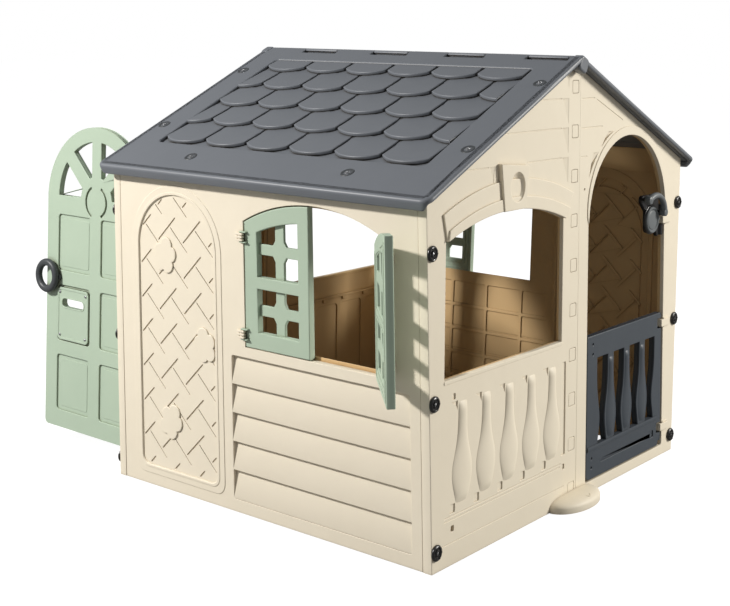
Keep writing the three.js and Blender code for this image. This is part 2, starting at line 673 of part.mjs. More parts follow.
// The back plate, with its half-round hinge edge, the dial's hub and two posts for the handset.
function phoneBase() {
  const { x, w } = DOOR_AXIS;
  const { left, low, high, back, hub } = PHONE;
  const [foot, head] = [low + 6, high - 28];
  const sheet = plate(rounded(left, x, low, high, 22), LEAF_BACK, back, 2);
  const edge = rod([x, foot, w], [x, head, w], LEAF_THICK / 2, 12);
  const rib = block(x - 16, x, foot, head, LEAF_BACK, LEAF_BACK + 14);
  const pivot = rod([PHONE.x, PHONE.z, back - 2], [PHONE.x, PHONE.z, -1], hub, 16);
  const posts = CUPS.map(([a, b]) => rod([a, b, back - 2], [a, b, 5 - GAP], 4.5));
  const trimmed = cut(join([sheet, edge, rib]), [hole(x - 9, x + 20, head, high + 50)]);
  return pinned(join([trimmed, pivot, ...posts]), [CLIP_HEIGHTS[2]]);
}

function phoneDial() {
  const { x, z, dial, hub, back } = PHONE;
  const disc = rod([x, z, back + 0.8], [x, z, 3], dial, 20);
  const dish = rod([x, z, 0.5], [x, z, 10], dial - 9, 16);
  const socket = rod([x, z, -10], [x, z, -0.6], hub + 2 * GAP, 16);
  return cut(disc, [dish, socket]);
}

// The handset: a bow round the dial with a cup at each end.
function handset() {
  const { x, z, radius, half, from, to } = BOW;
  const outline = new THREE.Shape();
  outline.absarc(x, z, radius + half, from, to);
  outline.absarc(x, z, radius - half, to, from, true);
  const cups = CUPS.map(([a, b]) => rod([a, b, 5], [a, b, 24], 13, 12));
  return join([plate(outline, 9, 22, 4), ...cups]);
}

// ---------------------------------------------------------------- roof

function roofSlab() {
  const t = ROOF_FALL;
  const nose = -ROOF_RUN;
  const profile = [
    [-GAP, 0], [-GAP - ROOF_THICK * t, -ROOF_THICK], [nose + 19, -ROOF_THICK],
    [nose + 19, -ROOF_THICK - ROOF_LIP], [nose + 7, -ROOF_THICK - ROOF_LIP],
    [nose, -ROOF_THICK - 3], [nose, -9], [nose + 3, -3], [nose + 9, 0],
  ];
  return moulding(profile.reverse(), -ROOF_HALF_LENGTH, ROOF_HALF_LENGTH);
}

// One shingle: straight sides, a rounded lower edge, lying on the sunken field.
function shingle(x, low, height, width) {
  const shape = new THREE.Shape();
  const half = width / 2;
  const rise = 26;
  const radius = (half * half + rise * rise) / (2 * rise);
  const reach = Math.asin(half / radius);
  shape.absarc(x, low + radius, radius, 1.5 * Math.PI - reach, 1.5 * Math.PI + reach);
  shape.lineTo(x + half, low + height);
  shape.lineTo(x - half, low + height);
  return shape;
}

function shingles() {
  const pitch = (FIELD.top - FIELD.bottom) / ROWS;
  const width = 2 * FIELD.side / ACROSS;
  const [margin, slit, lap] = [4, 5, 18];
  const list = [];
  for (let row = 0; row < ROWS; row++) {
    const whole = row % 2 === 0;
    const count = whole ? ACROSS : ACROSS + 1;
    const low = FIELD.bottom + row * pitch + margin;
    const face = -1.5 - 0.4 * row;
    for (let i = 0; i < count; i++) {
      const x = -FIELD.side + (whole ? i + 0.5 : i) * width;
      list.push(plate(shingle(x, low, pitch + lap, width - slit), -FIELD_DEPTH - 1, face, 2));
    }
  }
  return join(list).intersect(hole(-FIELD.side, FIELD.side, FIELD.bottom, FIELD.top));
}

// Where a panel's four ridge tongues lie along the ridge, each grown by a margin.
function tongueSpans(grow) {
  const clearance = 4;
  return [0, 2, 4, 6].map((i) => {
    const start = (i - 4) * TONGUE.length + clearance;
    return [start - grow, start + TONGUE.length - 2 * clearance + grow];
  });
}

// The notches that take the tongues of the other panel, turned half round.
function ridgeNotches() {
  return tongueSpans(TONGUE.play).map(([a, b]) => hole(-b, -a, -26, 30));
}

// Where a panel's six screws stand: two along the eave and two along each rake.
function screwSpots() {
  const eave = EAVE_SCREW_SIDES.map((u) => [u, -EAVE_SCREW]);
  const rake = RAKE_SCREWS.flatMap((down) => [-1, 1].map((s) => [s * (GABLE_FACE + SCREW_DEPTH), -down]));
  return [...eave, ...rake];
}

function roofPanel() {
  const { side, bottom, top } = FIELD;
  const field = block(-side, side, bottom, top, -FIELD_DEPTH, 10);
  const bore = SCREW_RADIUS + SCREW_PLAY;
  const holes = screwSpots().map(([u, v]) => rod([u, v, -THROUGH], [u, v, 20], bore, 6));
  const plain = cut(roofSlab(), [field, ...holes]).add(shingles());
  const tongues = tongueSpans(0).map(([a, b]) => block(a, b, -20, TONGUE.reach, TONGUE.bottom, TONGUE.top));
  return join([cut(plain, ridgeNotches()), ...tongues]);
}

// ---------------------------------------------------------------- fasteners and feet

// A [radius, out] profile turned about the panel's normal.
function turned(profile, sides) {
  const geometry = new THREE.LatheGeometry(profile.map(([r, y]) => new THREE.Vector2(r, y)), sides);
  return solid(geometry.rotateX(Math.PI / 2));
}

// A corner bolt: a round cap outside and a shank through the gable into the wall.
function cornerBolt() {
  return turned([[0, -50], [BOLT_RADIUS, -50], [BOLT_RADIUS, GAP], [18, GAP], [18, 5], [15, 8], [0, 8]], 8);
}

// A roof screw: a low round head and a plain shank.
function roofScrew() {
  return turned([[0, -42], [SCREW_RADIUS, -42], [SCREW_RADIUS, GAP], [7, GAP], [7, 1.6], [5, 3], [0, 3]], 6);
}

// A low half-round foot in front of the seam, with a hole for a ground peg.
function anchorFoot() {
  const [centre, squeeze] = [18, 0.57];
  const profile = [[0, 0], [100, 0], [106, 6], [106, 14], [97, 22], [60, 28], [0, 30]];
  const geometry = new THREE.LatheGeometry(profile.map(([r, y]) => new THREE.Vector2(r, y)), 22);
  geometry.rotateX(Math.PI / 2).scale(1, squeeze, 1).translate(centre, -GABLE_FACE, 0);
  const behind = block(-200, 250, -GABLE_FACE - GAP, 0, -10, 60);
  const peg = rod([24, -GABLE_FACE - 40, -5], [24, -GABLE_FACE - 40, 40], 6);
  return cut(solid(geometry), [behind, peg]);
}

// ---------------------------------------------------------------- assembly

const house = new THREE.Group();

function place(mesh, x, y, z) {
  mesh.position.set(x, y, z);
  return mesh;
}

// Hangs a mesh, drawn closed, on an upright axis in its panel's frame and turns it open.
function hang(mesh, x, w, angle) {
  const pivot = new THREE.Group();
  pivot.position.set(x, 0, w);
  pivot.rotation.y = angle;
  mesh.position.set(-x, 0, -w);
  pivot.add(mesh);
  return pivot;
}

function buildGable(name) {
  const frame = gableFrame();
  frame.add(piece(`${name}_gable_window_half`, gableWindowHalf(), CREAM));
  frame.add(piece(`${name}_gable_door_half`, gableDoorHalf(), CREAM));
  for (const hand of [-1, 1]) {
    BOLT_HEIGHTS.forEach((z, i) => {
      const end = hand < 0 ? 'window_side' : 'door_side';
      const bolt = piece(`${name}_bolt_${end}_${i + 1}`, cornerBolt(), BLACK);
      frame.add(place(bolt, hand * (wallX(z) - BOLT_INSET), z, 0));
    });
  }
  return frame;
}

function buildSide(name, rest) {
  const frame = wallFrame();
  frame.add(piece(`${name}_wall`, sideWall(), CREAM));
  const { left, right } = SIDE_WINDOW;
  const hinge = [left - SHUTTER_AXIS.beyond, right + SHUTTER_AXIS.beyond];
  const names = ['centre', 'corner'];
  [-1, 1].forEach((side, i) => {
    const leaf = piece(`${name}_shutter_${names[i]}`, shutter(side), SAGE);
    frame.add(hang(leaf, hinge[i], SHUTTER_AXIS.out, side * rest[i]));
  });
  return frame;
}

function buildRoof(name) {
  const frame = roofFrame();
  frame.add(piece(`${name}_roof_panel`, roofPanel(), SLATE));
  screwSpots().forEach(([u, v], i) => {
    frame.add(place(piece(`${name}_roof_screw_${i + 1}`, roofScrew(), STEEL), u, v, 0));
  });
  return frame;
}

const front = new THREE.Group();
const back = new THREE.Group();
back.rotation.z = Math.PI;
front.add(piece('front_anchor_foot', anchorFoot(), CREAM));
back.add(piece('back_anchor_foot', anchorFoot(), CREAM));
front.add(buildGable('front'), buildSide('left', [0, SHUTTER_REST]), buildRoof('left'));
back.add(buildGable('back'), buildSide('right', [SHUTTER_REST, 0]), buildRoof('right'));

const frontLeaves = gableFrame();
frontLeaves.add(hang(piece('front_gate', gate(), SLATE), DOOR_AXIS.x, DOOR_AXIS.w, 0));
frontLeaves.add(piece('phone_base', phoneBase(), BLACK));
frontLeaves.add(piece('phone_dial', phoneDial(), SLATE));
frontLeaves.add(piece('phone_handset', handset(), SLATE));
front.add(frontLeaves);

const backLeaves = gableFrame();
const doorLeaf = new THREE.Group();
doorLeaf.add(piece('back_door', backDoor(), SAGE));
doorLeaf.add(piece('door_pull_ring', pullRing(), BLACK));
doorLeaf.add(piece('letter_plate', letterPlate(), SAGE));
letterScrews().forEach((spot, i) => {
  doorLeaf.add(piece(`letter_plate_screw_${i + 1}`, letterScrew(spot), STEEL));
});
backLeaves.add(hang(doorLeaf, DOOR_AXIS.x, DOOR_AXIS.w, DOOR_REST));
back.add(backLeaves);

house.add(front, back);

// The origin lies on the ground, under the middle of the house with its back door open.
const middle = new THREE.Box3().setFromObject(house, true).getCenter(new THREE.Vector3());
house.position.set(-middle.x, -middle.y, 0);

export default house;
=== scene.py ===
import math

import bmesh
import bpy
from mathutils import Matrix, Vector


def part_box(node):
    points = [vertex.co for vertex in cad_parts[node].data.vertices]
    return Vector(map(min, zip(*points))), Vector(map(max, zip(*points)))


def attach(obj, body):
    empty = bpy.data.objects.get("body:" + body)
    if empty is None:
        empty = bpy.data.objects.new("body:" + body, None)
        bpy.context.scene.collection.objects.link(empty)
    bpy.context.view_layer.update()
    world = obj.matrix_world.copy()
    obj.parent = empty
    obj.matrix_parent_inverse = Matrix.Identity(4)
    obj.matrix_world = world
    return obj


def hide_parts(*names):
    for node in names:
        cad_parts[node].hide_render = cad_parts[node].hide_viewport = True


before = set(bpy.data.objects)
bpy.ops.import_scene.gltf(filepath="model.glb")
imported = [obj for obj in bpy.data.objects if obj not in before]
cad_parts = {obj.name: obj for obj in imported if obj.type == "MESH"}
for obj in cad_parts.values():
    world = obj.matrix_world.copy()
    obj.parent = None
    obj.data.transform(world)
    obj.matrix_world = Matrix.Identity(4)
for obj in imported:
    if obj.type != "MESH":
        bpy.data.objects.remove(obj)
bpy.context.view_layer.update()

# ---------------------------------------------------------------- shared dimensions, millimetres

MM = 0.001
HALF_WIDTH = 588
WALL_LEAN = 0.0466
GABLE_FACE = 515
GABLE_THICK = 20
CORNER_THICK = 25
CORNER_WIDTH = 40
WALL_THICK = 24
WALL_HALF = 489.7
ROOF_TOP = 1142
ROOF_SLOPE = math.radians(24.8)
ROOF_THICK = 14
ROOF_HALF_SPAN = 665
ROOF_HALF_LENGTH = 544
ROOF_RUN = ROOF_HALF_SPAN / math.cos(ROOF_SLOPE)
ROOF_LIP = 15
SEAM = 40
SILL = 420
DOOR_LEFT, DOOR_RIGHT, DOOR_BOTTOM, DOOR_TOP = 90, 526, 28, 923
DOOR_CENTRE = (DOOR_LEFT + DOOR_RIGHT) / 2
DOOR_RADIUS = (DOOR_RIGHT - DOOR_LEFT) / 2
DOOR_SPRING = DOOR_TOP - DOOR_RADIUS
LEAF_BACK, LEAF_FRONT = -18.3, -0.3
AXIS_X, AXIS_W = 514, -9.3
CLIP_HEIGHTS = (81, 377, 671)
DOOR_REST = math.radians(89)
SHUTTER_REST = math.radians(134)
TAB_FIRST, TAB_PITCH, TAB_COUNT = 35, 114.1, 10
BOLT_HEIGHTS = (46, 378, 712)
BOLT_INSET = 14.5
ROOF_FALL = math.tan(ROOF_SLOPE)
UNDER_RIDGE = ROOF_TOP - (ROOF_THICK + 0.3) / math.cos(ROOF_SLOPE)
EAVE_HEIGHT = (UNDER_RIDGE - ROOF_FALL * HALF_WIDTH) / (1 + ROOF_FALL * WALL_LEAN)
WINDOW = (-551, -39, 420, 732, 778)
SIDE_WINDOW = (-43, 401, 418, 730, 787)
SHUTTER_WIDTH = 210
SHUTTER_BACK, SHUTTER_FRONT = -20.5, -0.5
SHUTTER_CLIPS = (452, 692)
ARCH_CENTRE = -283
PIN_BESIDE, PIN_OUT = 3, 6
CLIP_ROOM, CLIP_DEPTH = 14, 20
BOARD_LEFT, BOARD_RIGHT, BOARD_LOW, BOARD_HIGH = -90, 460, 32, 392


def wall_x(z):
    """Distance of the eave wall's outer face from the middle at a height."""
    return HALF_WIDTH + WALL_LEAN * z


def under_roof(x):
    return UNDER_RIDGE - ROOF_FALL * abs(x)


# ---------------------------------------------------------------- frames of the panels

HALF_TURN = Matrix.Rotation(math.pi, 4, "Z")
WALL_LOW, WALL_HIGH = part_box("left_wall")
MIDDLE = (WALL_LOW[1] + WALL_HIGH[1]) / 2
HOUSE = Matrix.Translation((0, MIDDLE, 0))


def basis(u, v, w, origin):
    """A panel's frame: x to the right as seen from outside, y up the panel, z outwards."""
    rows = [[u[i] * MM, v[i] * MM, w[i] * MM, origin[i] * MM] for i in range(3)]
    return Matrix(rows + [[0, 0, 0, 1]])


def side_frame(angle, x, z):
    c, s = math.cos(angle), math.sin(angle)
    return basis((0, -1, 0), (c, 0, s), (-s, 0, c), (x, 0, z))


GABLE = basis((1, 0, 0), (0, 0, 1), (0, -1, 0), (0, -GABLE_FACE, 0))
WALL_ANGLE = math.pi / 2 + math.atan(WALL_LEAN)
WALL = side_frame(WALL_ANGLE, -HALF_WIDTH, 0)
ROOF = side_frame(ROOF_SLOPE, 0, ROOF_TOP)
WORLD = Matrix.Scale(MM, 4)


def about(place, angle, axis):
    """A turn about a line of the panel that runs through a place."""
    there = Matrix.Translation(place)
    return there @ Matrix.Rotation(angle, 4, axis) @ there.inverted()


def swing(x, w, angle):
    """Turns something drawn closed about an upright line of its panel."""
    return about((x, 0, w), angle, "Y")


def wall_top(w):
    """Where the roof's underside crosses the wall, up the wall's own frame, at a depth w."""
    c, s = math.cos(WALL_ANGLE), math.sin(WALL_ANGLE)
    return (UNDER_RIDGE - ROOF_FALL * (HALF_WIDTH + w * s) - w * c) / (s - ROOF_FALL * c)


# ---------------------------------------------------------------- outlines

def arc(x, y, radius, start, end, steps):
    span = [start + (end - start) * i / steps for i in range(steps + 1)]
    return [(x + radius * math.cos(a), y + radius * math.sin(a)) for a in span]


def circle(x, y, radius, steps=32, squeeze=1.0):
    turn = [2 * math.pi * i / steps for i in range(steps)]
    return [(x + radius * math.cos(a), y + radius * squeeze * math.sin(a)) for a in turn]


def box2(x0, x1, y0, y1):
    return [(x0, y0), (x1, y0), (x1, y1), (x0, y1)]


def rounded(x0, x1, y0, y1, radius, steps=5):
    q = math.pi / 2
    corners = ((x1, y1, 0), (x0, y1, 1), (x0, y0, 2), (x1, y0, 3))
    points = []
    for x, y, turn in corners:
        cx = x - radius if x == x1 else x + radius
        cy = y - radius if y == y1 else y + radius
        points += arc(cx, cy, radius, turn * q, (turn + 1) * q, steps)
    return points


def arched(x0, x1, bottom, spring, top, steps=32):
    """Straight sides, a flat bottom and a segmental arch."""
    half, rise = (x1 - x0) / 2, top - spring
    radius = (half * half + rise * rise) / (2 * rise)
    reach = math.asin(min(1, half / radius))
    crown = arc((x0 + x1) / 2, top - radius, radius, math.pi / 2 - reach, math.pi / 2 + reach, steps)
    return [(x0, bottom), (x1, bottom)] + crown


def door_shape(x0, x1, bottom, top, corner, steps=48):
    """Straight sides, rounded bottom corners and a half-round top."""
    radius = (x1 - x0) / 2
    q = math.pi / 2
    crown = arc((x0 + x1) / 2, top - radius, radius, 0, math.pi, steps)
    left = arc(x0 + corner, bottom + corner, corner, 2 * q, 3 * q, 5)
    right = arc(x1 - corner, bottom + corner, corner, 3 * q, 4 * q, 5)
    return crown + left + right


def stroke(x0, y0, x1, y1, width):
    """A thin pointed slit from one point to another."""
    dx, dy = x1 - x0, y1 - y0
    length = math.hypot(dx, dy)
    nx, ny = -dy / length * width / 2, dx / length * width / 2
    ex, ey = dx / length * width, dy / length * width
    return [(x0, y0), (x0 + ex - nx, y0 + ey - ny), (x1 - ex - nx, y1 - ey - ny),
            (x1, y1), (x1 - ex + nx, y1 - ey + ny), (x0 + ex + nx, y0 + ey + ny)]


def band(inner, outer):
    """The strip between two open lines, as one closed loop."""
    return list(inner) + list(reversed(outer))


def notch(height):
    """The hinge edge of a leaf cut back round a clip, from below it to above it."""
    low, high, back = height - CLIP_ROOM, height + CLIP_ROOM, AXIS_X - CLIP_DEPTH
    return [(AXIS_X, low), (back, low), (back, high), (AXIS_X, high)]


def arc_band(x, y, radius, width, start, end, steps=24):
    inner, outer = (arc(x, y, radius + step, start, end, steps) for step in (-width / 2, width / 2))
    return band(inner, outer)


def baluster_half(t, narrow, wide):
    """Half the width of a baluster at a share of its height: a belly low down, a slim neck."""
    return narrow + (wide - narrow) * math.exp(-(((t - 0.3) / 0.26) ** 2))


# ---------------------------------------------------------------- solids

class Solid:
    """Collects closed shapes, in one panel's millimetres, into a single piece."""

    def __init__(self):
        self.bm = bmesh.new()

    def add(self, mesh, matrix=None):
        if matrix is not None:
            mesh.transform(matrix)
        self.bm.from_mesh(mesh)
        bpy.data.meshes.remove(mesh)
        return self

    def plate(self, loops, back, front, edge=1.2, rings=1, matrix=None):
        """A flat plate with rounded rims; the first loop is its outline, the others are holes."""
        curve = bpy.data.curves.new("outline", "CURVE")
        curve.dimensions = "2D"
        curve.fill_mode = "BOTH"
        curve.extrude = max((front - back) / 2 - edge, 0.01)
        curve.bevel_depth = edge
        curve.bevel_resolution = rings
        curve.offset = -edge
        for loop in loops:
            spline = curve.splines.new("POLY")
            spline.points.add(len(loop) - 1)
            for point, (x, y) in zip(spline.points, loop):
                point.co = (x, y, 0, 1)
            spline.use_cyclic_u = True
        holder = bpy.data.objects.new("outline", curve)
        mesh = bpy.data.meshes.new_from_object(holder)
        bpy.data.objects.remove(holder)
        bpy.data.curves.remove(curve)
        mesh.transform(Matrix.Translation((0, 0, (front + back) / 2)))
        soften(mesh)
        return self.add(mesh, matrix)

    def bar(self, profile, from_u, to_u, matrix=None):
        """A closed [up, out] profile drawn along the panel from side to side."""
        bm = bmesh.new()
        ends = [[bm.verts.new((u, v, w)) for v, w in profile] for u in (from_u, to_u)]
        count = len(profile)
        for i in range(count):
            j = (i + 1) % count
            bm.faces.new((ends[0][i], ends[0][j], ends[1][j], ends[1][i]))
        bm.faces.new(ends[0][::-1])
        bm.faces.new(ends[1])
        return self.take(bm, matrix)

    def turned(self, profile, steps=32, matrix=None, squeeze=1.0):
        """A [radius, out] profile turned about the panel's outward line through the origin."""
        bm = bmesh.new()
        rings = []
        for radius, out in profile:
            if radius < 1e-6:
                rings.append([bm.verts.new((0, 0, out))])
                continue
            turn = [2 * math.pi * i / steps for i in range(steps)]
            ring = [(radius * math.cos(a), radius * squeeze * math.sin(a), out) for a in turn]
            rings.append([bm.verts.new(p) for p in ring])
        for a, b in zip(rings, rings[1:]):
            for i in range(steps):
                j = (i + 1) % steps
                corners = [a[i % len(a)], a[j % len(a)], b[j % len(b)], b[i % len(b)]]
                unique = list(dict.fromkeys(corners))
                if len(unique) > 2:
                    bm.faces.new(unique)
        return self.take(bm, matrix)

    def ring(self, x, y, w, outer, inner, steps=48, sides=12, squeeze=1.0):
        """A ring lying in the panel, with an oval section between two radii."""
        middle, thick = (outer + inner) / 2, (outer - inner) / 2
        bm = bmesh.new()
        rows = []
        for i in range(steps):
            a = 2 * math.pi * i / steps
            row = []
            for k in range(sides):
                b = 2 * math.pi * k / sides
                reach = middle + thick * math.cos(b)
                height = w + thick * squeeze * math.sin(b)
                row.append(bm.verts.new((x + reach * math.cos(a), y + reach * math.sin(a), height)))
            rows.append(row)
        for i in range(steps):
            for k in range(sides):
                a, b, m = rows[i], rows[(i + 1) % steps], (k + 1) % sides
                bm.faces.new((a[k], b[k], b[m], a[m]))
        return self.take(bm, None)

    def tube(self, points, radius, sides=12, matrix=None):
        """A round rod along a line of points, closed at both ends."""
        bm = bmesh.new()
        rows = []
        spots = [Vector(p) for p in points]
        for i, spot in enumerate(spots):
            ahead = spots[min(i + 1, len(spots) - 1)] - spots[max(i - 1, 0)]
            ahead.normalize()
            side = ahead.orthogonal() if i == 0 else side - ahead * side.dot(ahead)
            side.normalize()
            up = ahead.cross(side)
            turn = [2 * math.pi * k / sides for k in range(sides)]
            r = radius(i / (len(spots) - 1)) if callable(radius) else radius
            rows.append([bm.verts.new(spot + (side * math.cos(a) + up * math.sin(a)) * r) for a in turn])
        for a, b in zip(rows, rows[1:]):
            for k in range(sides):
                m = (k + 1) % sides
                bm.faces.new((a[k], a[m], b[m], b[k]))
        bm.faces.new(rows[0][::-1])
        bm.faces.new(rows[-1])
        return self.take(bm, matrix)

    def take(self, bm, matrix):
        bmesh.ops.recalc_face_normals(bm, faces=bm.faces)
        mesh = bpy.data.meshes.new("shape")
        bm.to_mesh(mesh)
        bm.free()
        mesh.polygons.foreach_set("use_smooth", [True] * len(mesh.polygons))
        mesh.set_sharp_from_angle(angle=math.radians(34))
        return self.add(mesh, matrix)

    def mesh(self, name):
        """The finished mesh, still in the panel's millimetres."""
        mesh = bpy.data.meshes.new(name)
        self.bm.to_mesh(mesh)
        self.bm.free()
        return mesh


def soften(mesh):
    """Welds a plate's rims to its faces and keeps the broad flat faces flat."""
    bm = bmesh.new()
    bm.from_mesh(mesh)
    bmesh.ops.remove_doubles(bm, verts=bm.verts, dist=1e-4)
    bmesh.ops.recalc_face_normals(bm, faces=bm.faces)
    bm.to_mesh(mesh)
    bm.free()
    mesh.set_sharp_from_angle(angle=math.radians(50))
    mesh.polygons.foreach_set("use_smooth", [abs(face.normal.z) < 0.999 for face in mesh.polygons])


def piece(name, mesh, matrix, material, body, *nodes):
    """Puts a mesh into the scene as one piece of the object, riding on a CAD body."""
    copy = mesh.copy()
    copy.transform(HOUSE @ matrix)
    obj = bpy.data.objects.new(name, copy)
    bpy.context.scene.collection.objects.link(obj)
    obj.data.materials.append(material)
    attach(obj, body)
    if nodes:
        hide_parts(*nodes)
    return obj


# ---------------------------------------------------------------- materials

# Bounds of the painted inner shade: how far inside the walls' and gables' outer faces it begins, and the span
# over which it fades in.
INSIDE_WALL, INSIDE_GABLE, INSIDE_FADE = 0.016, 0.0085, 0.003
# Painted crease shade: how far the occlusion looks, and the tint that darkens creases.
CREASE_REACH = 0.014
CREASE_SHADE_TINT = (0.36, 0.29, 0.21, 1)


class Nodes:
    """A short hand for wiring one material."""

    def __init__(self, name):
        self.material = bpy.data.materials.new(name)
        self.material.use_nodes = True
        self.tree = self.material.node_tree
        self.shader = self.tree.nodes["Principled BSDF"]

    def node(self, kind, inputs=None, **settings):
        made = self.tree.nodes.new(kind)
        for key, value in settings.items():
            setattr(made, key, value)
        for key, value in (inputs or {}).items():
            if isinstance(value, bpy.types.NodeSocket):
                self.tree.links.new(value, made.inputs[key])
            else:
                made.inputs[key].default_value = value
        return made

    def maths(self, operation, *values):
        return self.node("ShaderNodeMath", dict(enumerate(values)), operation=operation).outputs[0]

    def mapped(self, value, from_min, from_max, to_min, to_max):
        """A value brought from one span to another and held at its ends."""
        spans = {"From Min": from_min, "From Max": from_max, "To Min": to_min, "To Max": to_max}
        return self.node("ShaderNodeMapRange", {"Value": value, **spans}).outputs[0]

    def mixed(self, share, first, second, **settings):
        colours = {"Factor": share, "A": first, "B": second}
        return self.node("ShaderNodeMix", colours, data_type="RGBA", **settings).outputs["Result"]

    def link(self, socket, name):
        self.tree.links.new(socket, self.shader.inputs[name])


def paint_inner_shade(n, base, colour):
    """Paints the inner faces of the shell, chosen by their place, a warm brown that stands for the dim shade
    inside the house.
    """
    place = n.node("ShaderNodeNewGeometry").outputs["Position"]
    parts = n.node("ShaderNodeSeparateXYZ", {"Vector": place}).outputs
    lean = n.maths("MULTIPLY_ADD", parts["Z"], -WALL_LEAN, -HALF_WIDTH * MM + INSIDE_WALL)
    beyond_wall = n.maths("ADD", n.maths("ABSOLUTE", parts["X"]), lean)
    depth = n.maths("ABSOLUTE", n.maths("SUBTRACT", parts["Y"], MIDDLE))
    beyond_gable = n.maths("SUBTRACT", depth, GABLE_FACE * MM - INSIDE_GABLE)
    out = n.maths("MAXIMUM", beyond_wall, beyond_gable)
    return n.mixed(n.mapped(out, -INSIDE_FADE, 0.0, 1.0, 0.0), base, colour)


def moulded_plastic(name, colour, shade, rough, grain=0.12, sheen=0.3, inside=None, crease_shade=0.75):
    """Moulded polyethylene: a faint mottle, painted shade in the creases, fine pebbled skin."""
    n = Nodes(name)
    place = n.node("ShaderNodeTexCoord").outputs["Object"]
    mottle = n.node("ShaderNodeTexNoise", {"Vector": place, "Scale": 5.0, "Detail": 5.0, "Roughness": 0.6})
    fine = n.node("ShaderNodeTexNoise", {"Vector": place, "Scale": 900.0, "Detail": 2.0})
    ripple = n.node("ShaderNodeTexNoise", {"Vector": place, "Scale": 14.0, "Detail": 1.0})
    base = n.mixed(n.mapped(mottle.outputs["Fac"], 0.35, 0.65, 0.0, 0.35), colour, shade)
    # Painted shade on the inner faces, when an inner colour is given.
    if inside:
        base = paint_inner_shade(n, base, inside)
    # Painted shade: creases and recesses are darkened by ambient occlusion, standing in for the shade that
    # falls in them.
    crease = n.node("ShaderNodeAmbientOcclusion", {"Distance": CREASE_REACH}, samples=6)
    crease_darkening = n.mapped(crease.outputs["AO"], 0.25, 0.8, crease_shade, 0.0)
    n.link(n.mixed(crease_darkening, base, CREASE_SHADE_TINT, blend_type="MULTIPLY"), "Base Color")
    n.link(n.mapped(fine.outputs["Fac"], 0.0, 1.0, rough - 0.06, rough + 0.08), "Roughness")
    skin = n.node("ShaderNodeBump", {"Height": fine.outputs["Fac"], "Strength": grain, "Distance": 0.0004})
    sag = n.node("ShaderNodeBump", {"Height": ripple.outputs["Fac"], "Strength": 0.25, "Distance": 0.004,
                                    "Normal": skin.outputs["Normal"]})
    n.link(sag.outputs["Normal"], "Normal")
    n.shader.inputs["Specular IOR Level"].default_value = sheen
    return n.material


def metal(name, colour, rough):
    """Zinc-plated steel with fine turning marks."""
    n = Nodes(name)
    place = n.node("ShaderNodeTexCoord").outputs["Object"]
    marks = n.node("ShaderNodeTexNoise", {"Vector": place, "Scale": 1500.0, "Detail": 3.0})
    n.link(n.mapped(marks.outputs["Fac"], 0.0, 1.0, rough - 0.1, rough + 0.15), "Roughness")
    n.shader.inputs["Base Color"].default_value = colour
    n.shader.inputs["Metallic"].default_value = 1.0
    return n.material


# The cream's inner-face colour is painted shade: the inside is the same plastic, dim under warm bounce light.
CREAM = moulded_plastic("cream", (0.82, 0.75, 0.615, 1), (0.79, 0.715, 0.575, 1), 0.5,
                        inside=(0.66, 0.455, 0.23, 1), crease_shade=0.5)
SAGE = moulded_plastic("sage", (0.43, 0.53, 0.42, 1), (0.39, 0.49, 0.385, 1), 0.45)
SLATE = moulded_plastic("slate", (0.158, 0.172, 0.195, 1), (0.144, 0.158, 0.180, 1), 0.42,
                        sheen=0.4, crease_shade=0.95)
GATE_GREY = moulded_plastic("gate_grey", (0.056, 0.068, 0.084, 1), (0.048, 0.059, 0.074, 1), 0.42, sheen=0.4)
CHARCOAL = moulded_plastic("charcoal", (0.060, 0.066, 0.072, 1), (0.050, 0.056, 0.062, 1), 0.4)
PHONE_GREY = moulded_plastic("phone_grey", (0.150, 0.165, 0.175, 1), (0.125, 0.140, 0.150, 1), 0.4)
BLACK = moulded_plastic("black", (0.012, 0.012, 0.013, 1), (0.010, 0.010, 0.011, 1), 0.3, sheen=0.5)
STEEL = metal("steel", (0.42, 0.43, 0.45, 1), 0.35)


# ---------------------------------------------------------------- gables

SIDING_LINES = [(-182, 1033, -52, 1033), (-342, 959, -52, 959), (-218, 884, -52, 884), (-500, 884, -382, 884)]
BASE_LINES = [(-545, 103, -38, 103), (-545, 111, -38, 111), (-560, 51, -20, 51)]
DOOR_SIDING_LINES = [(46, 954, 158, 954), (46, 880, 78, 880), (125, 1026, 270, 965), (46, 1030, 116, 1030)]
VASES = (-477, -380, -281, -182, -84)
VASE_LOW, VASE_HIGH = 138, 368
FACE_BACK, GROOVE_FLOOR, POCKET_LEAN = -7.8, -1.3, -0.17


def gable_outline(window_half):
    """One half of a gable, cut at the seam, below the roof."""
    edge = wall_x(EAVE_HEIGHT)
    if window_half:
        x = SEAM - 0.15
        return [(-HALF_WIDTH, 0), (x, 0), (x, under_roof(x)), (0, UNDER_RIDGE), (-edge, EAVE_HEIGHT)]
    x = SEAM + 0.15
    return [(x, 0), (HALF_WIDTH, 0), (edge, EAVE_HEIGHT), (x, under_roof(x))]


def corner_post(solid, side):
    """The deeper upright edge that laps the end of the eave wall."""
    inner = wall_x(EAVE_HEIGHT) - CORNER_WIDTH
    wrap = 0.8
    outline = [(side * (HALF_WIDTH - CORNER_WIDTH), 0), (side * (HALF_WIDTH + wrap), 0),
               (side * (wall_x(EAVE_HEIGHT) + wrap), EAVE_HEIGHT), (side * inner, under_roof(inner))]
    solid.plate([outline], -CORNER_THICK, 0.1, 2.2, 3)


def bolt_seat(z, side):
    return circle(side * (wall_x(z) - BOLT_INSET), z, 5.6, 16)


def tab_slots(grow):
    heights = [TAB_FIRST + i * TAB_PITCH for i in range(TAB_COUNT)]
    return [rounded(-grow, 30 + grow, z - 16 - grow, z + 16 + grow, 4, 3) for z in heights]


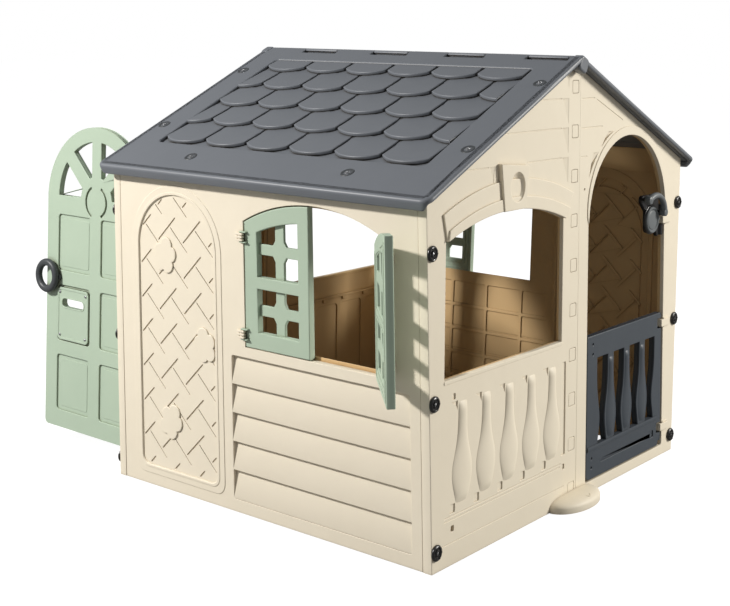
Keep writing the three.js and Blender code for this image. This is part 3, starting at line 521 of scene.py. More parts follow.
def siding_pockets():
    """Lapped boards of the upper left: a fine line each, ending in a tapered pocket at the post."""
    pockets = [[(-19, z), (-47, z), (-19, z - 64)] for z in (1033, 959, 884)]
    pockets += [[(-19, 1102), (-34, 1102), (-19, 1062)], [(-359, 885), (-377, 884), (-361, 846)]]
    return [stroke(*ends, 2.4) for ends in SIDING_LINES], pockets


def groove_floors(s, lines):
    """A shallow floor under every siding line."""
    for ends in lines:
        s.plate([stroke(*ends, 9)], FACE_BACK, GROOVE_FLOOR, 0.3)


def pocket_floors(s, pockets):
    """A floor in every pocket, deep at its left edge and level with the face at its right."""
    for pocket in pockets:
        hinge = max(x for x, y in pocket)
        s.plate([pocket], -6, -0.8, 0.2, 1, about((hinge, 0, 0), POCKET_LEAN, "Y"))


def window_half():
    """The gable half with the window, its hood and keystone and the blind balustrade."""
    s = Solid()
    outline = gable_outline(True)
    hole = arched(*WINDOW)
    lines, pockets = siding_pockets()
    bolts = [bolt_seat(z, -1) for z in BOLT_HEIGHTS]
    low_line = [stroke(*ends, 2.0) for ends in BASE_LINES]
    dots = [rounded(-31, -19, 94, 108, 3, 2)]
    pegs = [rounded(-518, -506, z - 7, z + 7, 3, 2) for z in (379, 82)]
    slot = rounded(-36, -17, 131, 366, 3, 3)
    face_holes = [hole] + lines + pockets + bolts + low_line + dots + pegs + [slot]
    s.plate([outline] + face_holes + balustrade_cuts() + tab_slots(0.9), -8, 0, 1.0)
    groove_floors(s, SIDING_LINES + BASE_LINES)
    s.plate([rounded(-560, -12, 90, 392, 4, 3)], FACE_BACK, -3.2, 0.4)
    pocket_floors(s, pockets)
    s.plate([outline, hole] + bolts, -13, -7.5, 0.6)
    inner = SEAM - 55
    back = [(-HALF_WIDTH, 0), (inner, 0), (inner, under_roof(inner)), (-wall_x(EAVE_HEIGHT), EAVE_HEIGHT)]
    s.plate([back, hole] + bolts + inner_blocks(-540, -60, 60, 326), -17, -12.5, 1.5, 2)
    inner_ledge(s)
    corner_post(s, -1)
    bellies(s)
    hood(s)
    keystone(s)
    window_lining(s)
    return s.mesh("gable_window_half")


def inner_blocks(x0, x1, y0, y1):
    """Ribs on the inside of a gable: sunken rectangles side by side."""
    width = (x1 - x0) / 4
    return [rounded(x0 + i * width + 8, x0 + (i + 1) * width - 8, y0, y1, 12, 4) for i in range(4)]


def inner_ledge(s):
    """A thin shelf under the window on the inside, hooked at even steps."""
    s.plate([box2(-545, -60, 347, 353)], -25, -16, 1.0, 2)
    for x in (-431, -326, -232, -136):
        s.plate([rounded(x - 13, x + 13, 336, 350, 3, 3)], -22, -16, 1.2, 2)


def balustrade_cuts():
    """Small shadowed notches at the foot and head of every baluster."""
    high = VASE_HIGH - 1
    feet = [rounded(x - 47, x - 26, 117, 137, 3, 2) for x in VASES]
    heads = [[(x - 44, high), (x - 20, high), (x - 20, high - 21), (x - 27, high - 8)] for x in VASES]
    return feet + heads


def bellies(solid):
    """Full, rounded balusters that swell out of the panel."""
    for x in VASES:
        swell(solid, x, VASE_LOW - 4, VASE_HIGH - 4, 17, 41, 7.5, -0.8)


def swell(solid, x, bottom, top, narrow, wide, proud, sink, rows=22, across=12):
    """A half-round baluster on a face, as wide as its outline at every height."""
    bm = bmesh.new()
    grid = []
    for i in range(rows + 1):
        t = i / rows
        half = baluster_half(t, narrow, wide)
        fade = min(1, t / 0.06, (1 - t) / 0.05)
        row = []
        for k in range(across + 1):
            a = math.pi * k / across
            lift = proud * math.sin(a) ** 1.3 * max(fade, 0.05)
            row.append(bm.verts.new((x - half * math.cos(a), bottom + t * (top - bottom), sink + lift)))
        grid.append(row)
    for a, b in zip(grid, grid[1:]):
        for k in range(across):
            bm.faces.new((a[k], a[k + 1], b[k + 1], b[k]))
    back = bmesh.ops.extrude_face_region(bm, geom=list(bm.faces))["geom"]
    for part in back:
        if isinstance(part, bmesh.types.BMVert):
            part.co.z = sink - 4
    solid.take(bm, None)


def hood(solid):
    """The two-stepped arch over the window, in two halves either side of the keystone."""
    crown = arched(*WINDOW)[2:]
    steps = ((-567, 4, 793, 850, 5, 1.8), (-547, -18, 757, 808, 9.5, 2.2))
    for x0, x1, spring_out, top_out, front, edge in steps:
        outer = arched(x0, x1, 727, spring_out, top_out)[2:]
        solid.plate([crown + outer[::-1]], -3, front, edge, 2)


def keystone(solid):
    """The keystone, with an oval dish in its face."""
    x, z, squeeze = -274, 831, 1.14
    rim = circle(x, z, 31, 40, squeeze)
    solid.plate([[(-330, 777), (-236, 777), (-222, 879), (-345, 890)], rim], -3, 13, 2.0, 2)
    dish = [(0, -1.5), (12, -0.8), (21, 1.2), (27, 5.0), (30, 9.5), (33, 11.5), (33, -4), (0, -4)]
    solid.turned(dish, 40, Matrix.Translation((x, z, 0)), squeeze)


def window_lining(solid):
    """A soft lip along the window's sill."""
    solid.plate([rounded(-553, -37, SILL - 9, SILL - 0.6, 3, 3)], -GABLE_THICK + 1, 1.6, 1.2)


def door_half():
    """The gable half with the doorway, its raised band, the locking tabs and the hinge clips."""
    s = Solid()
    outline = gable_outline(False)
    hole = door_shape(DOOR_LEFT, DOOR_RIGHT, DOOR_BOTTOM, DOOR_TOP, 8)
    bolts = [bolt_seat(z, 1) for z in BOLT_HEIGHTS]
    lines = [stroke(*ends, 2.2) for ends in DOOR_SIDING_LINES]
    pockets = [band_pocket(193, 30), band_pocket(112, 27)]
    dot = [circle(67, 795, 3.2, 8)]
    s.plate([outline, hole] + bolts + lines + pockets + dot, -8, 0, 1.0)
    groove_floors(s, DOOR_SIDING_LINES)
    pocket_floors(s, pockets)
    s.plate([outline, hole] + bolts, -13, -7.5, 0.6)
    ribs = [rounded(56, 78, 60, 860, 8, 4)]
    s.plate([outline, hole] + bolts + ribs, -GABLE_THICK, -12.5, 1.5, 2)
    near, far = SEAM + 6, SEAM - 54
    tongue = [(far, 0), (near, 0), (near, under_roof(near) - 1), (far, under_roof(SEAM) - 1)]
    s.plate([tongue], -GABLE_THICK, -10.3, 1.0)
    for tab in tab_slots(0):
        s.plate([tab], -12, -0.2, 1.2)
    corner_post(s, 1)
    doorway_band(s)
    for height in CLIP_HEIGHTS:
        door_clip(s, height)
    return s.mesh("gable_door_half")


def band_pocket(left, width):
    """A tapered pocket where a lapped board runs into the doorway's raised band."""
    radius = DOOR_RADIUS + 30
    start = math.acos(max(-1, min(1, (left + width - DOOR_CENTRE) / radius)))
    end = start + 0.33
    outer = arc(DOOR_CENTRE, DOOR_SPRING, radius, start, end, 8)
    count = len(outer)
    inner = [(x - width * (1 - i / (count - 1)) ** 1.2, y) for i, (x, y) in enumerate(outer)]
    return outer + inner[-2::-1]


def doorway_band(solid):
    """The flat raised arch round the doorway's head, and the threshold's front lip."""
    inner = arc(DOOR_CENTRE, DOOR_SPRING, DOOR_RADIUS, 0, math.pi, 48)
    outer = []
    for i in range(49):
        a = math.pi * i / 48
        reach = DOOR_RADIUS + 2 + 22 * math.sin(a) ** 0.5
        outer.append((DOOR_CENTRE + reach * math.cos(a), DOOR_SPRING + reach * math.sin(a)))
    clipped = [(x, min(y, under_roof(x) - 1)) for x, y in outer]
    solid.plate([band(inner, clipped)], -3, 2.6, 1.4, 2)


def door_clip(solid, height):
    """A strap from the jamb that snaps round the leaf's hinge pin."""
    low, high = height - 10, height + 10
    solid.plate([rounded(AXIS_X - 7, DOOR_RIGHT + 28, low, high, 2.5, 3)], 0.5, 6, 1.4, 2)
    solid.plate([rounded(AXIS_X + 14, DOOR_RIGHT + 33, low - 4, high + 4, 3, 3)], -3, 2, 1.2, 2)
    solid.plate([rounded(AXIS_X - 6, AXIS_X + 6, low, high, 1.5, 2)], -5.8, 3, 0.8)
    knuckle = [(AXIS_X, low, AXIS_W), (AXIS_X, high, AXIS_W)]
    solid.tube(knuckle, 7.4, 20)


# ---------------------------------------------------------------- eave walls

def lattice_strokes():
    """The diagonal basket weave of the arched panel: long dark strokes one way, fine ones the other."""
    dark, fine = [], []
    centre, half, low, high = ARCH_CENTRE, 134, 58, 767
    radius = 134
    spring = high - radius
    for i in range(-1, 4):
        for j in range(-8, 3):
            y = 261 + 91 * i
            z = 647 + 91 * j
            dark.append(clip_stroke(-y + 3, z + 3, -y + 68, z + 67, centre, half, low, spring, radius))
            y = 308 + 91 * i
            z = 691 + 91 * j
            fine.append(clip_stroke(-y + 4, z - 4, -y + 66, z - 65, centre, half, low, spring, radius))
    return [d for d in dark if d], [f for f in fine if f]


def clip_stroke(x0, y0, x1, y1, centre, half, low, spring, radius):
    """Shortens a stroke to the arched field, and drops what is outside it."""
    steps = 24
    inside = []
    for i in range(steps + 1):
        t = i / steps
        x, y = x0 + (x1 - x0) * t, y0 + (y1 - y0) * t
        over = math.hypot(x - centre, y - spring) < radius if y > spring else True
        if abs(x - centre) < half and y > low and over:
            inside.append((x, y))
    if len(inside) < 5:
        return None
    return inside[0] + inside[-1]


def leaf_outline(x, y, size, turn):
    """An ivy leaf: round lobes with sharp creases between them."""
    points = []
    for i in range(70):
        a = 2 * math.pi * i / 70
        lobe = 0.76 + 0.24 * abs(math.cos(2.5 * a)) ** 0.7
        reach = size * lobe * (1 + 0.10 * math.cos(2 * a))
        points.append((x + reach * math.cos(a + turn), y + reach * math.sin(a + turn)))
    return points


def wall_outline():
    top = wall_top(0)
    return [(-WALL_HALF, 0), (WALL_HALF, 0), (WALL_HALF, top), (-WALL_HALF, top)]


def wall():
    """An eave wall: arched lattice panel, lapped boards, window with its rebate, and shutter clips."""
    s = Solid()
    outline = wall_outline()
    left, right, low, spring, top = SIDE_WINDOW
    rebate = arched(left, right, low, spring, top)
    through = arched(left + 8, right - 8, low + 8, spring - 8, top - 8)
    boards = rounded(BOARD_LEFT, BOARD_RIGHT, BOARD_LOW, BOARD_HIGH, 5, 3)
    field = door_shape(ARCH_CENTRE - 137, ARCH_CENTRE + 137, 54, 771, 22, 40)
    s.plate([outline, rebate, boards, field], -6, 0, 1.1)
    s.plate([outline, rebate, boards], -22.2, -5.5, 0.8)
    ribs = inner_wall_relief()
    s.plate([outline, through] + ribs, -WALL_THICK, -21.6, 1.0, 2)
    lattice_field(s)
    inner_wall_details(s)
    arch_rim(s)
    lapped_boards(s)
    for edge, side in ((left, -1), (right, 1)):
        for height in SHUTTER_CLIPS:
            shutter_clip(s, edge, side, height)
    ledge(s)
    return s.mesh("eave_wall")


def lattice_field(s):
    dark, fine = lattice_strokes()
    grooves = [stroke(*d, 3.6) for d in dark] + [stroke(*f, 2.2) for f in fine]
    centre = ARCH_CENTRE
    outline = door_shape(centre - 139, centre + 139, 52, 773, 23, 40)
    s.plate([outline] + grooves, -5, -1.8, 0.7)
    s.plate([outline], -9, -4.6, 0.3)
    for u, v, size, turn in ((-323, 612, 44, 1.4), (-183, 399, 42, 1.8), (-312, 181, 44, 1.1)):
        s.plate([leaf_outline(u, v, size, turn)], -3, 2.2, 2.2, 3)


def arch_rim(s):
    """The raised band round the lattice: a rounded bead outside and a fine line inside it."""
    centre = ARCH_CENTRE
    outer = door_shape(centre - 163, centre + 163, 30, 797, 30, 48)
    inner = door_shape(centre - 137, centre + 137, 54, 771, 22, 48)
    s.plate([outer, inner], -2, 1.6, 1.5, 2)
    step_out = door_shape(centre - 146, centre + 146, 46, 780, 26, 48)
    step_in = door_shape(centre - 138, centre + 138, 53, 772, 22, 48)
    s.plate([step_out, step_in], -2, 3.0, 1.3, 2)


def lapped_boards(s):
    """Five boards under the window, each leaning out to a lip at its foot."""
    count = 5
    pitch = (BOARD_HIGH - BOARD_LOW) / count
    for i in range(count):
        low = BOARD_LOW + i * pitch
        profile = [(low + pitch + 2, -20), (low + pitch + 2, -12)]
        profile += [(low + 2.4, 0.0), (low + 1.0, -0.5), (low + 0.2, -2.0), (low + 0.2, -20)]
        s.bar(profile, BOARD_LEFT - 0.5, BOARD_RIGHT + 0.5)


def inner_wall_relief():
    """What shows inside: the back of the lattice panel, and a grid of blocks behind the boards."""
    loops = [door_shape(ARCH_CENTRE - 150, ARCH_CENTRE + 150, 70, 760, 24, 32)]
    columns = ((-104, -9), (-1, 120), (128, 249), (257, 378), (386, 470))
    rows = ((20, 86), (94, 161), (169, 236), (244, 311), (319, 390))
    loops += [rounded(a, b, c, d, 5, 3) for a, b in columns for c, d in rows]
    return loops


def inner_wall_details(s):
    """The mirrored weave on the inside of the lattice panel."""
    dark, fine = lattice_strokes()
    grooves = [stroke(*d, 6) for d in dark] + [stroke(*f, 4.5) for f in fine]
    outline = door_shape(ARCH_CENTRE - 128, ARCH_CENTRE + 128, 92, 738, 24, 32)
    s.plate([outline] + grooves, -26.6, -21.9, 1.2)
    outer = door_shape(ARCH_CENTRE - 166, ARCH_CENTRE + 166, 44, 794, 30, 40)
    inner = door_shape(ARCH_CENTRE - 152, ARCH_CENTRE + 152, 66, 764, 24, 40)
    s.plate([outer, inner], -27, -23, 1.6, 2)


def ledge(s):
    """The shelf along the wall's head that carries the roof."""
    nose = wall_top(-60)
    profile = [(wall_top(-2), -2), (nose, -60), (nose - 16, -60), (790, -23), (790, -2)]
    s.bar(profile, -WALL_HALF, WALL_HALF)


def shutter_clip(s, edge, side, height):
    """A little hand of three fingers that closes round a shutter's pin."""
    x = edge + side * PIN_BESIDE
    low, high = sorted((edge - side * 1, edge + side * 23))
    s.plate([rounded(low, high, height - 8, height + 8, 2, 3)], -1, 5, 1.4, 2)
    knuckle = [(x, height - 8, PIN_OUT), (x, height + 8, PIN_OUT)]
    s.tube(knuckle, 5.4, 16)
    for step in (-7.4, 0, 7.4):
        a, b = sorted((edge - side * 7, edge + side * 15))
        s.plate([rounded(a, b, height + step - 2.5, height + step + 2.5, 1.6, 3)], 4, 12, 1.0, 2)


# ---------------------------------------------------------------- shutters

def shutter(side):
    """A two-light shutter drawn closed; side is -1 for the left leaf and 1 for the right one."""
    left, right, _, spring, top = SIDE_WINDOW
    edge = right if side > 0 else left
    middle = (left + right) / 2
    near, far = edge - side * 2, edge - side * SHUTTER_WIDTH
    crown = arched(left + 2, right - 2, SILL, spring - 2, top - 3, 64)[2:]
    x0, x1 = sorted((near, far))
    head = [(x, y) for x, y in crown if x0 < x < x1]
    half = (right - left) / 2 - 2
    rise = (top - 3) - (spring - 2)
    radius = (half * half + rise * rise) / (2 * rise)

    def height(x):
        """How high the arched head stands at x."""
        return top - 3 - radius + math.sqrt(radius * radius - (x - middle) ** 2)

    outline = [(x0, SILL), (x1, SILL), (x1, height(x1))] + head + [(x0, height(x0))]
    a, b = sorted((near - side * 42, far + side * 34))
    across = [a + (b - a) * i / 12 for i in range(12, -1, -1)]
    upper_head = [(x, height(x) - 42) for x in across]
    lower = box2(a, b, 460, 568)
    upper = [(a, 597), (b, 597)] + upper_head
    s = Solid()
    s.plate([outline, lower, upper], SHUTTER_BACK, SHUTTER_FRONT, 2.6, 3)
    for low_z, high_z, bar in ((460, 568, 514), (597, height((a + b) / 2) - 40, 664)):
        glazing_cross(s, (a + b) / 2, a, b, low_z, high_z, bar)
    inner_lines(s, x0, x1, a, b, height)
    for h in SHUTTER_CLIPS:
        shutter_pins(s, edge, side, h)
    return s.mesh("shutter")


def glazing_cross(s, x, a, b, low, high, bar):
    """The crossed bars of one light as a single outline, with an eight-sided boss in the middle."""
    w, h, boss = 14, 13, 26
    loop = [(x - w, low - 4), (x + w, low - 4), (x + w, bar - boss), (x + boss - 4, bar - h),
            (b + 4, bar - h), (b + 4, bar + h), (x + boss - 4, bar + h), (x + w, bar + boss),
            (x + w, high + 4), (x - w, high + 4), (x - w, bar + boss), (x - boss + 4, bar + h),
            (a - 4, bar + h), (a - 4, bar - h), (x - boss + 4, bar - h), (x - w, bar - boss)]
    s.plate([loop], -19, -10.5, 1.6, 2)


def inner_lines(s, x0, x1, a, b, height):
    """Raised outlines on the shutter's inner face."""
    def inset(d):
        head = [(x1 - d, height(x1) - d * 1.4), (x0 + d, height(x0) - d * 1.4)]
        return [(x0 + d, SILL + d), (x1 - d, SILL + d)] + head

    def frame_loop(grow, under_arch):
        left, right = a - grow, b + grow
        head = [right + (left - right) * i / 8 for i in range(9)]
        return [(left, 597 - grow), (right, 597 - grow)] + [(x, height(x) - under_arch) for x in head]

    s.plate([inset(10), inset(15)], SHUTTER_BACK - 1.6, SHUTTER_BACK + 1, 1.2, 2)
    lower = [box2(a - 12, b + 12, 448, 575), box2(a - 6, b + 6, 454, 571)]
    for loops in (lower, [frame_loop(12, 32), frame_loop(6, 38)]):
        s.plate(loops, SHUTTER_BACK - 1.6, SHUTTER_BACK + 1, 1.0, 2)


def shutter_pins(s, edge, side, h):
    """Two lugs with a pin between them, for one clip."""
    x = edge + side * PIN_BESIDE
    for low, high in ((h - 14, h - 11), (h + 11, h + 14)):
        a, b = sorted((x + side * 3.2, edge - side * 15))
        s.plate([rounded(a, b, low, high, 1.2, 3)], -3, 9, 0.8, 2)
    s.tube([(x, h - 12, PIN_OUT), (x, h + 12, PIN_OUT)], 2.4, 12)


# ---------------------------------------------------------------- door and gate

FAN_LEVEL, FAN_HUB, FAN_RIM = 706, 68, 166
PANEL_ASIDE, PANEL_ROWS = 94, ((92, 251), (292, 452), (494, 655))
LETTER_X, LETTER_Z, LETTER_HALF_WIDTH, LETTER_HALF_HEIGHT = 214, 371, 69, 75
PULL_X, PULL_Z = 108, 474
GATE_FIRST, GATE_PITCH, GATE_FOOT, GATE_TOP = 132, 90, 32, 407


def back_door():
    """The full door: six sunken panels, a fan light, a letter slot."""
    s = Solid()
    outline = door_shape(DOOR_LEFT + 3, DOOR_RIGHT - 3, 44, 912, 12)
    leaf = leaf_notches(outline, CLIP_HEIGHTS)
    q = math.pi / 4
    margins = ((4, 22), (22, 20), (20, 22), (22, 4))
    fans = [fan_light(i * q, i * q + q, near, far) for i, (near, far) in enumerate(margins)]
    slot = rounded(LETTER_X - 50, LETTER_X + 50, 389, 417, 13)
    places = [(aside, low, high) for aside in (-PANEL_ASIDE, PANEL_ASIDE) for low, high in PANEL_ROWS]
    panels = [rounded(DOOR_CENTRE + d - 72, DOOR_CENTRE + d + 72, a, b, 10) for d, a, b in places]
    crescents = [arc_band(DOOR_CENTRE, 702, 44, 7, t - 1.1, t + 1.1, 20) for t in (0, math.pi)]
    s.plate([leaf] + fans + panels + crescents, -6, LEAF_FRONT, 1.6, 2)
    s.plate([leaf] + fans + [slot], LEAF_BACK, -5.3, 1.6, 2)
    behind_letter_plate = (-PANEL_ASIDE, *PANEL_ROWS[1])
    for d, a, b in places:
        if (d, a, b) != behind_letter_plate:
            middle = DOOR_CENTRE + d
            s.plate([rounded(middle - 61, middle + 61, a + 11, b - 11, 8)], -8, -4.2, 1.2, 2)
    inner_door_relief(s)
    hinge_edge(s, 50, DOOR_SPRING - 12, CLIP_HEIGHTS)
    return s.mesh("back_door")


def fan_light(start, end, near, far):
    """A sector with straight, parallel-sided spokes on both sides."""
    outer, inner = [
        arc(DOOR_CENTRE, FAN_LEVEL, r, start + math.asin(near / r), end - math.asin(far / r), steps)
        for r, steps in ((FAN_RIM, 12), (FAN_HUB, 5))]
    return outer + inner[::-1]


def leaf_notches(outline, heights):
    """Cuts the leaf's hinge edge back to its axis, with a notch for every clip.

    The lowest point of the crown on the free side sorts before all the others. The outline doubles
    back to it and leaves a thin sliver across the fan light, which is a known fault of this shape.
    """
    clear, shoulder = AXIS_X - 16, 811
    crown = [p for p in outline if p[1] > DOOR_SPRING - 9 and not (p[0] > clear - 1 and p[1] < shoulder)]
    crown.sort(key=lambda p: math.atan2(p[1] - DOOR_SPRING, p[0] - DOOR_CENTRE))
    low = [(min(x, AXIS_X), y) for x, y in outline if y < DOOR_SPRING - 10]
    free_side = sorted((p for p in low if p[0] < DOOR_CENTRE), key=lambda p: -p[1])
    foot = sorted(p for p in low if p[0] >= DOOR_CENTRE and p[1] < heights[0] - 20)
    step_top = math.sqrt(DOOR_RADIUS ** 2 - (clear - DOOR_CENTRE) ** 2) + DOOR_SPRING - 12
    stair = [p for h in sorted(heights) for p in notch(h)]
    stair += [(AXIS_X, DOOR_SPRING - 10), (clear, DOOR_SPRING - 10), (clear, step_top)]
    return stair + crown + free_side + foot


def inner_door_relief(s):
    """Stiffening ribs on the door's inner face."""
    for x in (DOOR_CENTRE - 150, DOOR_CENTRE, DOOR_CENTRE + 150):
        s.plate([rounded(x - 4, x + 4, 90, 650, 3, 3)], LEAF_BACK - 1.6, LEAF_BACK + 2, 1.2, 2)
    for z in (90, 272, 473, 655):
        rail = rounded(DOOR_CENTRE - 170, DOOR_CENTRE + 170, z - 4, z + 4, 3, 3)
        s.plate([rail], LEAF_BACK - 1.6, LEAF_BACK + 2, 1.2, 2)


def hinge_edge(s, bottom, top, heights):
    """The round hinge edge in runs between the clips, with its pins."""
    stops = [bottom] + [e for h in sorted(heights) for e in (h - CLIP_ROOM, h + CLIP_ROOM)] + [top]
    for low, high in zip(stops[::2], stops[1::2]):
        if high > low:
            s.tube([(AXIS_X, low, AXIS_W), (AXIS_X, high, AXIS_W)], 9, 20)
    for h in heights:
        s.tube([(AXIS_X, h - 15, AXIS_W), (AXIS_X, h + 15, AXIS_W)], 3, 12)


def letter_plate():
    """A plate with a raised border, and a second raised border round its slot."""
    s = Solid()
    x, z, w, h = LETTER_X, LETTER_Z, LETTER_HALF_WIDTH, LETTER_HALF_HEIGHT
    outline = rounded(x - w, x + w, z - h, z + h, 14)
    slot = rounded(x - 48, x + 48, 391, 415, 12)
    screws = [circle(a, b, 2.3, 12) for a, b in letter_screws()]
    s.plate([outline, slot] + screws, -4.7, 2, 1.6, 2)
    s.plate([outline, rounded(x - w + 7, x + w - 7, z - h + 7, z + h - 7, 10)], -3, 3.4, 1.4, 2)
    s.plate([rounded(x - 52, x + 52, 387, 419, 15), slot], -3, 3.2, 1.2, 2)
    return s.mesh("letter_plate")


def letter_screws():
    return [(LETTER_X + a * 57, LETTER_Z + b * 61) for a, b in ((-1, -1), (1, -1), (-1, 1), (1, 1))]


def letter_screw():
    """A small screw with a domed head, the head's underside at the face."""
    s = Solid()
    head, height, shank, length = 4, 2.4, 1.8, 14
    profile = [(0, -length), (shank * 0.6, -length), (shank, -length + 2), (shank, 0), (head, 0),
               (head, height * 0.35), (head * 0.8, height * 0.8), (head * 0.55, height), (0, height)]
    s.turned(profile, 20)
    return s.mesh("letter_screw")


def pull_ring():
    """A thick ring held to the door by one stem."""
    s = Solid()
    s.ring(PULL_X, PULL_Z, 12.5, 49, 28, 56, 16, 0.9)
    stem = PULL_X + 38
    s.tube([(stem, PULL_Z, -10), (stem, PULL_Z, 8)], 5, 16)
    s.plate([rounded(stem - 14, stem + 14, PULL_Z - 8, PULL_Z + 8, 6, 4)], 0, 8, 2, 2)
    return s.mesh("pull_ring")


def gate():
    """The half gate: a deep top rail, four openings between balusters, a stepped bottom rail."""
    s = Solid()
    left, q = DOOR_LEFT + 4, math.pi / 2
    heights = CLIP_HEIGHTS[:2]
    stair = [p for h in heights for p in notch(h)]
    low_left = arc(left + 16, GATE_FOOT + 16, 16, 2 * q, 3 * q, 5)
    top_left = arc(left + 6, GATE_TOP - 6, 6, q, 2 * q, 4)
    top_right = arc(AXIS_X - 4, GATE_TOP - 4, 4, 0, q, 4)
    outline = [(AXIS_X, 62)] + stair + top_right + top_left + low_left + [(AXIS_X - 14, GATE_FOOT)]
    openings = gate_openings()
    s.plate([outline] + openings, LEAF_BACK, LEAF_FRONT - 3, 2.2, 2)
    groove = rounded(171, 462, 66, 73, 3, 3)
    square = rounded(456, 474, 62, 80, 2, 2)
    dots = [circle(x, z, 3.4, 12) for x, z in ((124, 384), (124, 358), (123, 85), (122, 61))]
    s.plate([outline] + openings + [groove, square] + dots, -9, LEAF_FRONT, 1.8, 2)
    for i in range(1, 4):
        swell(s, GATE_FIRST + GATE_PITCH * i, 116, 341, 15, 31, 9.0, -5.0)
    shelf = [(118, -14), (118, 1.6), (112, 3.0), (106, 1.6), (104, -2), (104, -14)]
    s.bar(shelf, left + 4, AXIS_X - 22)
    roll(s, left + 2, AXIS_X - 3)
    hinge_edge(s, 44, 399, heights)
    return s.mesh("gate")


def roll(s, x0, x1):
    """The rounded top edge of the gate's rail."""
    s.tube([(x, GATE_TOP - 9, AXIS_W) for x in (x0, x0 + 2, x1 - 2, x1)], 9.0, 24)


def gate_openings():
    """Openings between the balusters, as wide as the balusters leave at every height."""
    loops = []
    shares = [k / 16 for k in range(17)]
    for i in range(4):
        x0 = GATE_FIRST + GATE_PITCH * i
        x1 = x0 + GATE_PITCH
        right = [(x1 - baluster_half(t, 16, 32), 112 + t * 233) for t in shares]
        left = [(x0 + baluster_half(t, 16, 32), 112 + t * 233) for t in shares]
        loops.append(right + left[::-1])
    return loops


# ---------------------------------------------------------------- telephone

BOW_X, BOW_Z, BOW = 436, 690, 58
BOW_START, BOW_END = 2.2, 0.1
CUPS = [(BOW_X + BOW * math.cos(a), BOW_Z + BOW * math.sin(a)) for a in (BOW_START, BOW_END)]
PHONE_BACK = LEAF_BACK + 11
DIAL_X, DIAL_Z = 452, 676


def phone_base():
    """The back plate on its pin, with the dial's seat and two cradle posts."""
    s = Solid()
    outline = [(AXIS_X, 628)] + notch(CLIP_HEIGHTS[2]) + [(AXIS_X, 714), (AXIS_X - 9, 714)]
    outline += arc(AXIS_X - 31, 724, 22, 0, math.pi / 2, 6) + arc(413, 734, 12, math.pi / 2, math.pi, 6)
    outline += [(401, 727), (428, 700)] + arc(446, 656, 18, math.pi, 1.5 * math.pi, 6)
    outline += [(AXIS_X - 24, 638), (AXIS_X - 18, 625)]
    s.plate([outline], LEAF_BACK, PHONE_BACK, 2.2, 3)
    s.plate([circle(DIAL_X, DIAL_Z, 40.5, 40)], PHONE_BACK - 3, PHONE_BACK + 3.5, 2.2, 3)
    s.tube([(DIAL_X, DIAL_Z, PHONE_BACK - 2), (DIAL_X, DIAL_Z, -1)], 6, 20)
    for x, z in CUPS:
        s.tube([(x, z, PHONE_BACK - 2), (x, z, 4.7)], 4.5, 16)
    hinge_edge(s, 628, 714, CLIP_HEIGHTS[2:])
    return s.mesh("phone_base")


def phone_dial():
    """A dished dial with a small pointer at its rim."""
    s = Solid()
    centre = Matrix.Translation((DIAL_X, DIAL_Z, 0))
    profile = [(0, -6), (34, -6), (36.5, -4.5), (37, -2), (36.6, 1.5), (34.5, 3.4), (32, 3.4), (30, 1.6),
               (28.6, 0.2), (27.5, 0), (26.4, 1.3), (24, 2.0), (0, 2.3)]
    s.turned(profile, 48, centre)
    s.plate([[(486, 670), (494, 676), (486, 683), (484, 676)]], -4, 3.4, 1.0, 2)
    return s.mesh("phone_dial")


def handset():
    """A bowed grip with a round cup at each end and three small studs on the ear cup."""
    s = Solid()
    count = 28
    turn = [BOW_START + (BOW_END - BOW_START) * i / count for i in range(count + 1)]
    spine = [(BOW_X + BOW * math.cos(a), BOW_Z + BOW * math.sin(a), 15 + 4 * math.sin(math.pi * i / count))
             for i, a in enumerate(turn)]
    s.tube(spine, lambda t: 9.6 - 1.6 * math.sin(math.pi * t), 20)
    for x, z in CUPS:
        profile = [(0, 5.6), (9, 5.6), (11, 7.5), (11.8, 11), (11.8, 18), (10.6, 22), (7, 24), (0, 24.3)]
        s.turned(profile, 32, Matrix.Translation((x, z, 0)))
    x, z = CUPS[0]
    for dx, dz in ((-4, 3), (5, 3), (0.5, -5)):
        stud = [(0, 22), (1.9, 22), (1.9, 24.6), (1.1, 24.9), (0, 24.9)]
        s.turned(stud, 12, Matrix.Translation((x + dx, z + dz, 0)))
    return s.mesh("handset")


# ---------------------------------------------------------------- roof

FIELD_TOP, FIELD_LOW, FIELD_SIDE = -80, -590, 440
ROWS, ACROSS = 5, 6
SHINGLE_PITCH, SHINGLE_TILT = 109, -0.095
TONGUE_PITCH, NOTCH_ROOM = 128, 1.5


def roof_panel():
    """A roof panel: rounded rim, sunken field of scalloped shingles, tongues and notches at the ridge."""
    s = Solid()
    length, nose, inset = ROOF_HALF_LENGTH, -ROOF_RUN, 4
    field = rounded(-FIELD_SIDE, FIELD_SIDE, FIELD_LOW, FIELD_TOP, 12, 5)
    outline = ridge_edge(1.5) + rounded_eave(length - inset, nose + inset, 20)
    s.plate([outline, field], -ROOF_THICK, 0, 5.5, 4)
    floor = rounded(-FIELD_SIDE - 6, FIELD_SIDE + 6, FIELD_LOW - 6, FIELD_TOP + 6, 8, 3)
    s.plate([floor], -ROOF_THICK + 2, -8.5, 0.8)
    rim(s, length, nose)
    ridge_crest(s)
    shingle_field(s)
    tongues(s)
    knuckle(s)
    return s.mesh("roof_panel")


def ridge_crest(s):
    """Sharp crest along the ridge, between the notches."""
    stops = [-ROOF_HALF_LENGTH + 10]
    for a, b in notch_spans():
        stops += [a, b]
    stops.append(ROOF_HALF_LENGTH - 10)
    profile = [(-16, -12), (-16, -0.1), (-1.5, -0.1), (-0.2, -0.8), (-5.6, -12)]
    for a, b in zip(stops[::2], stops[1::2]):
        if b > a:
            s.bar(profile, a, b)


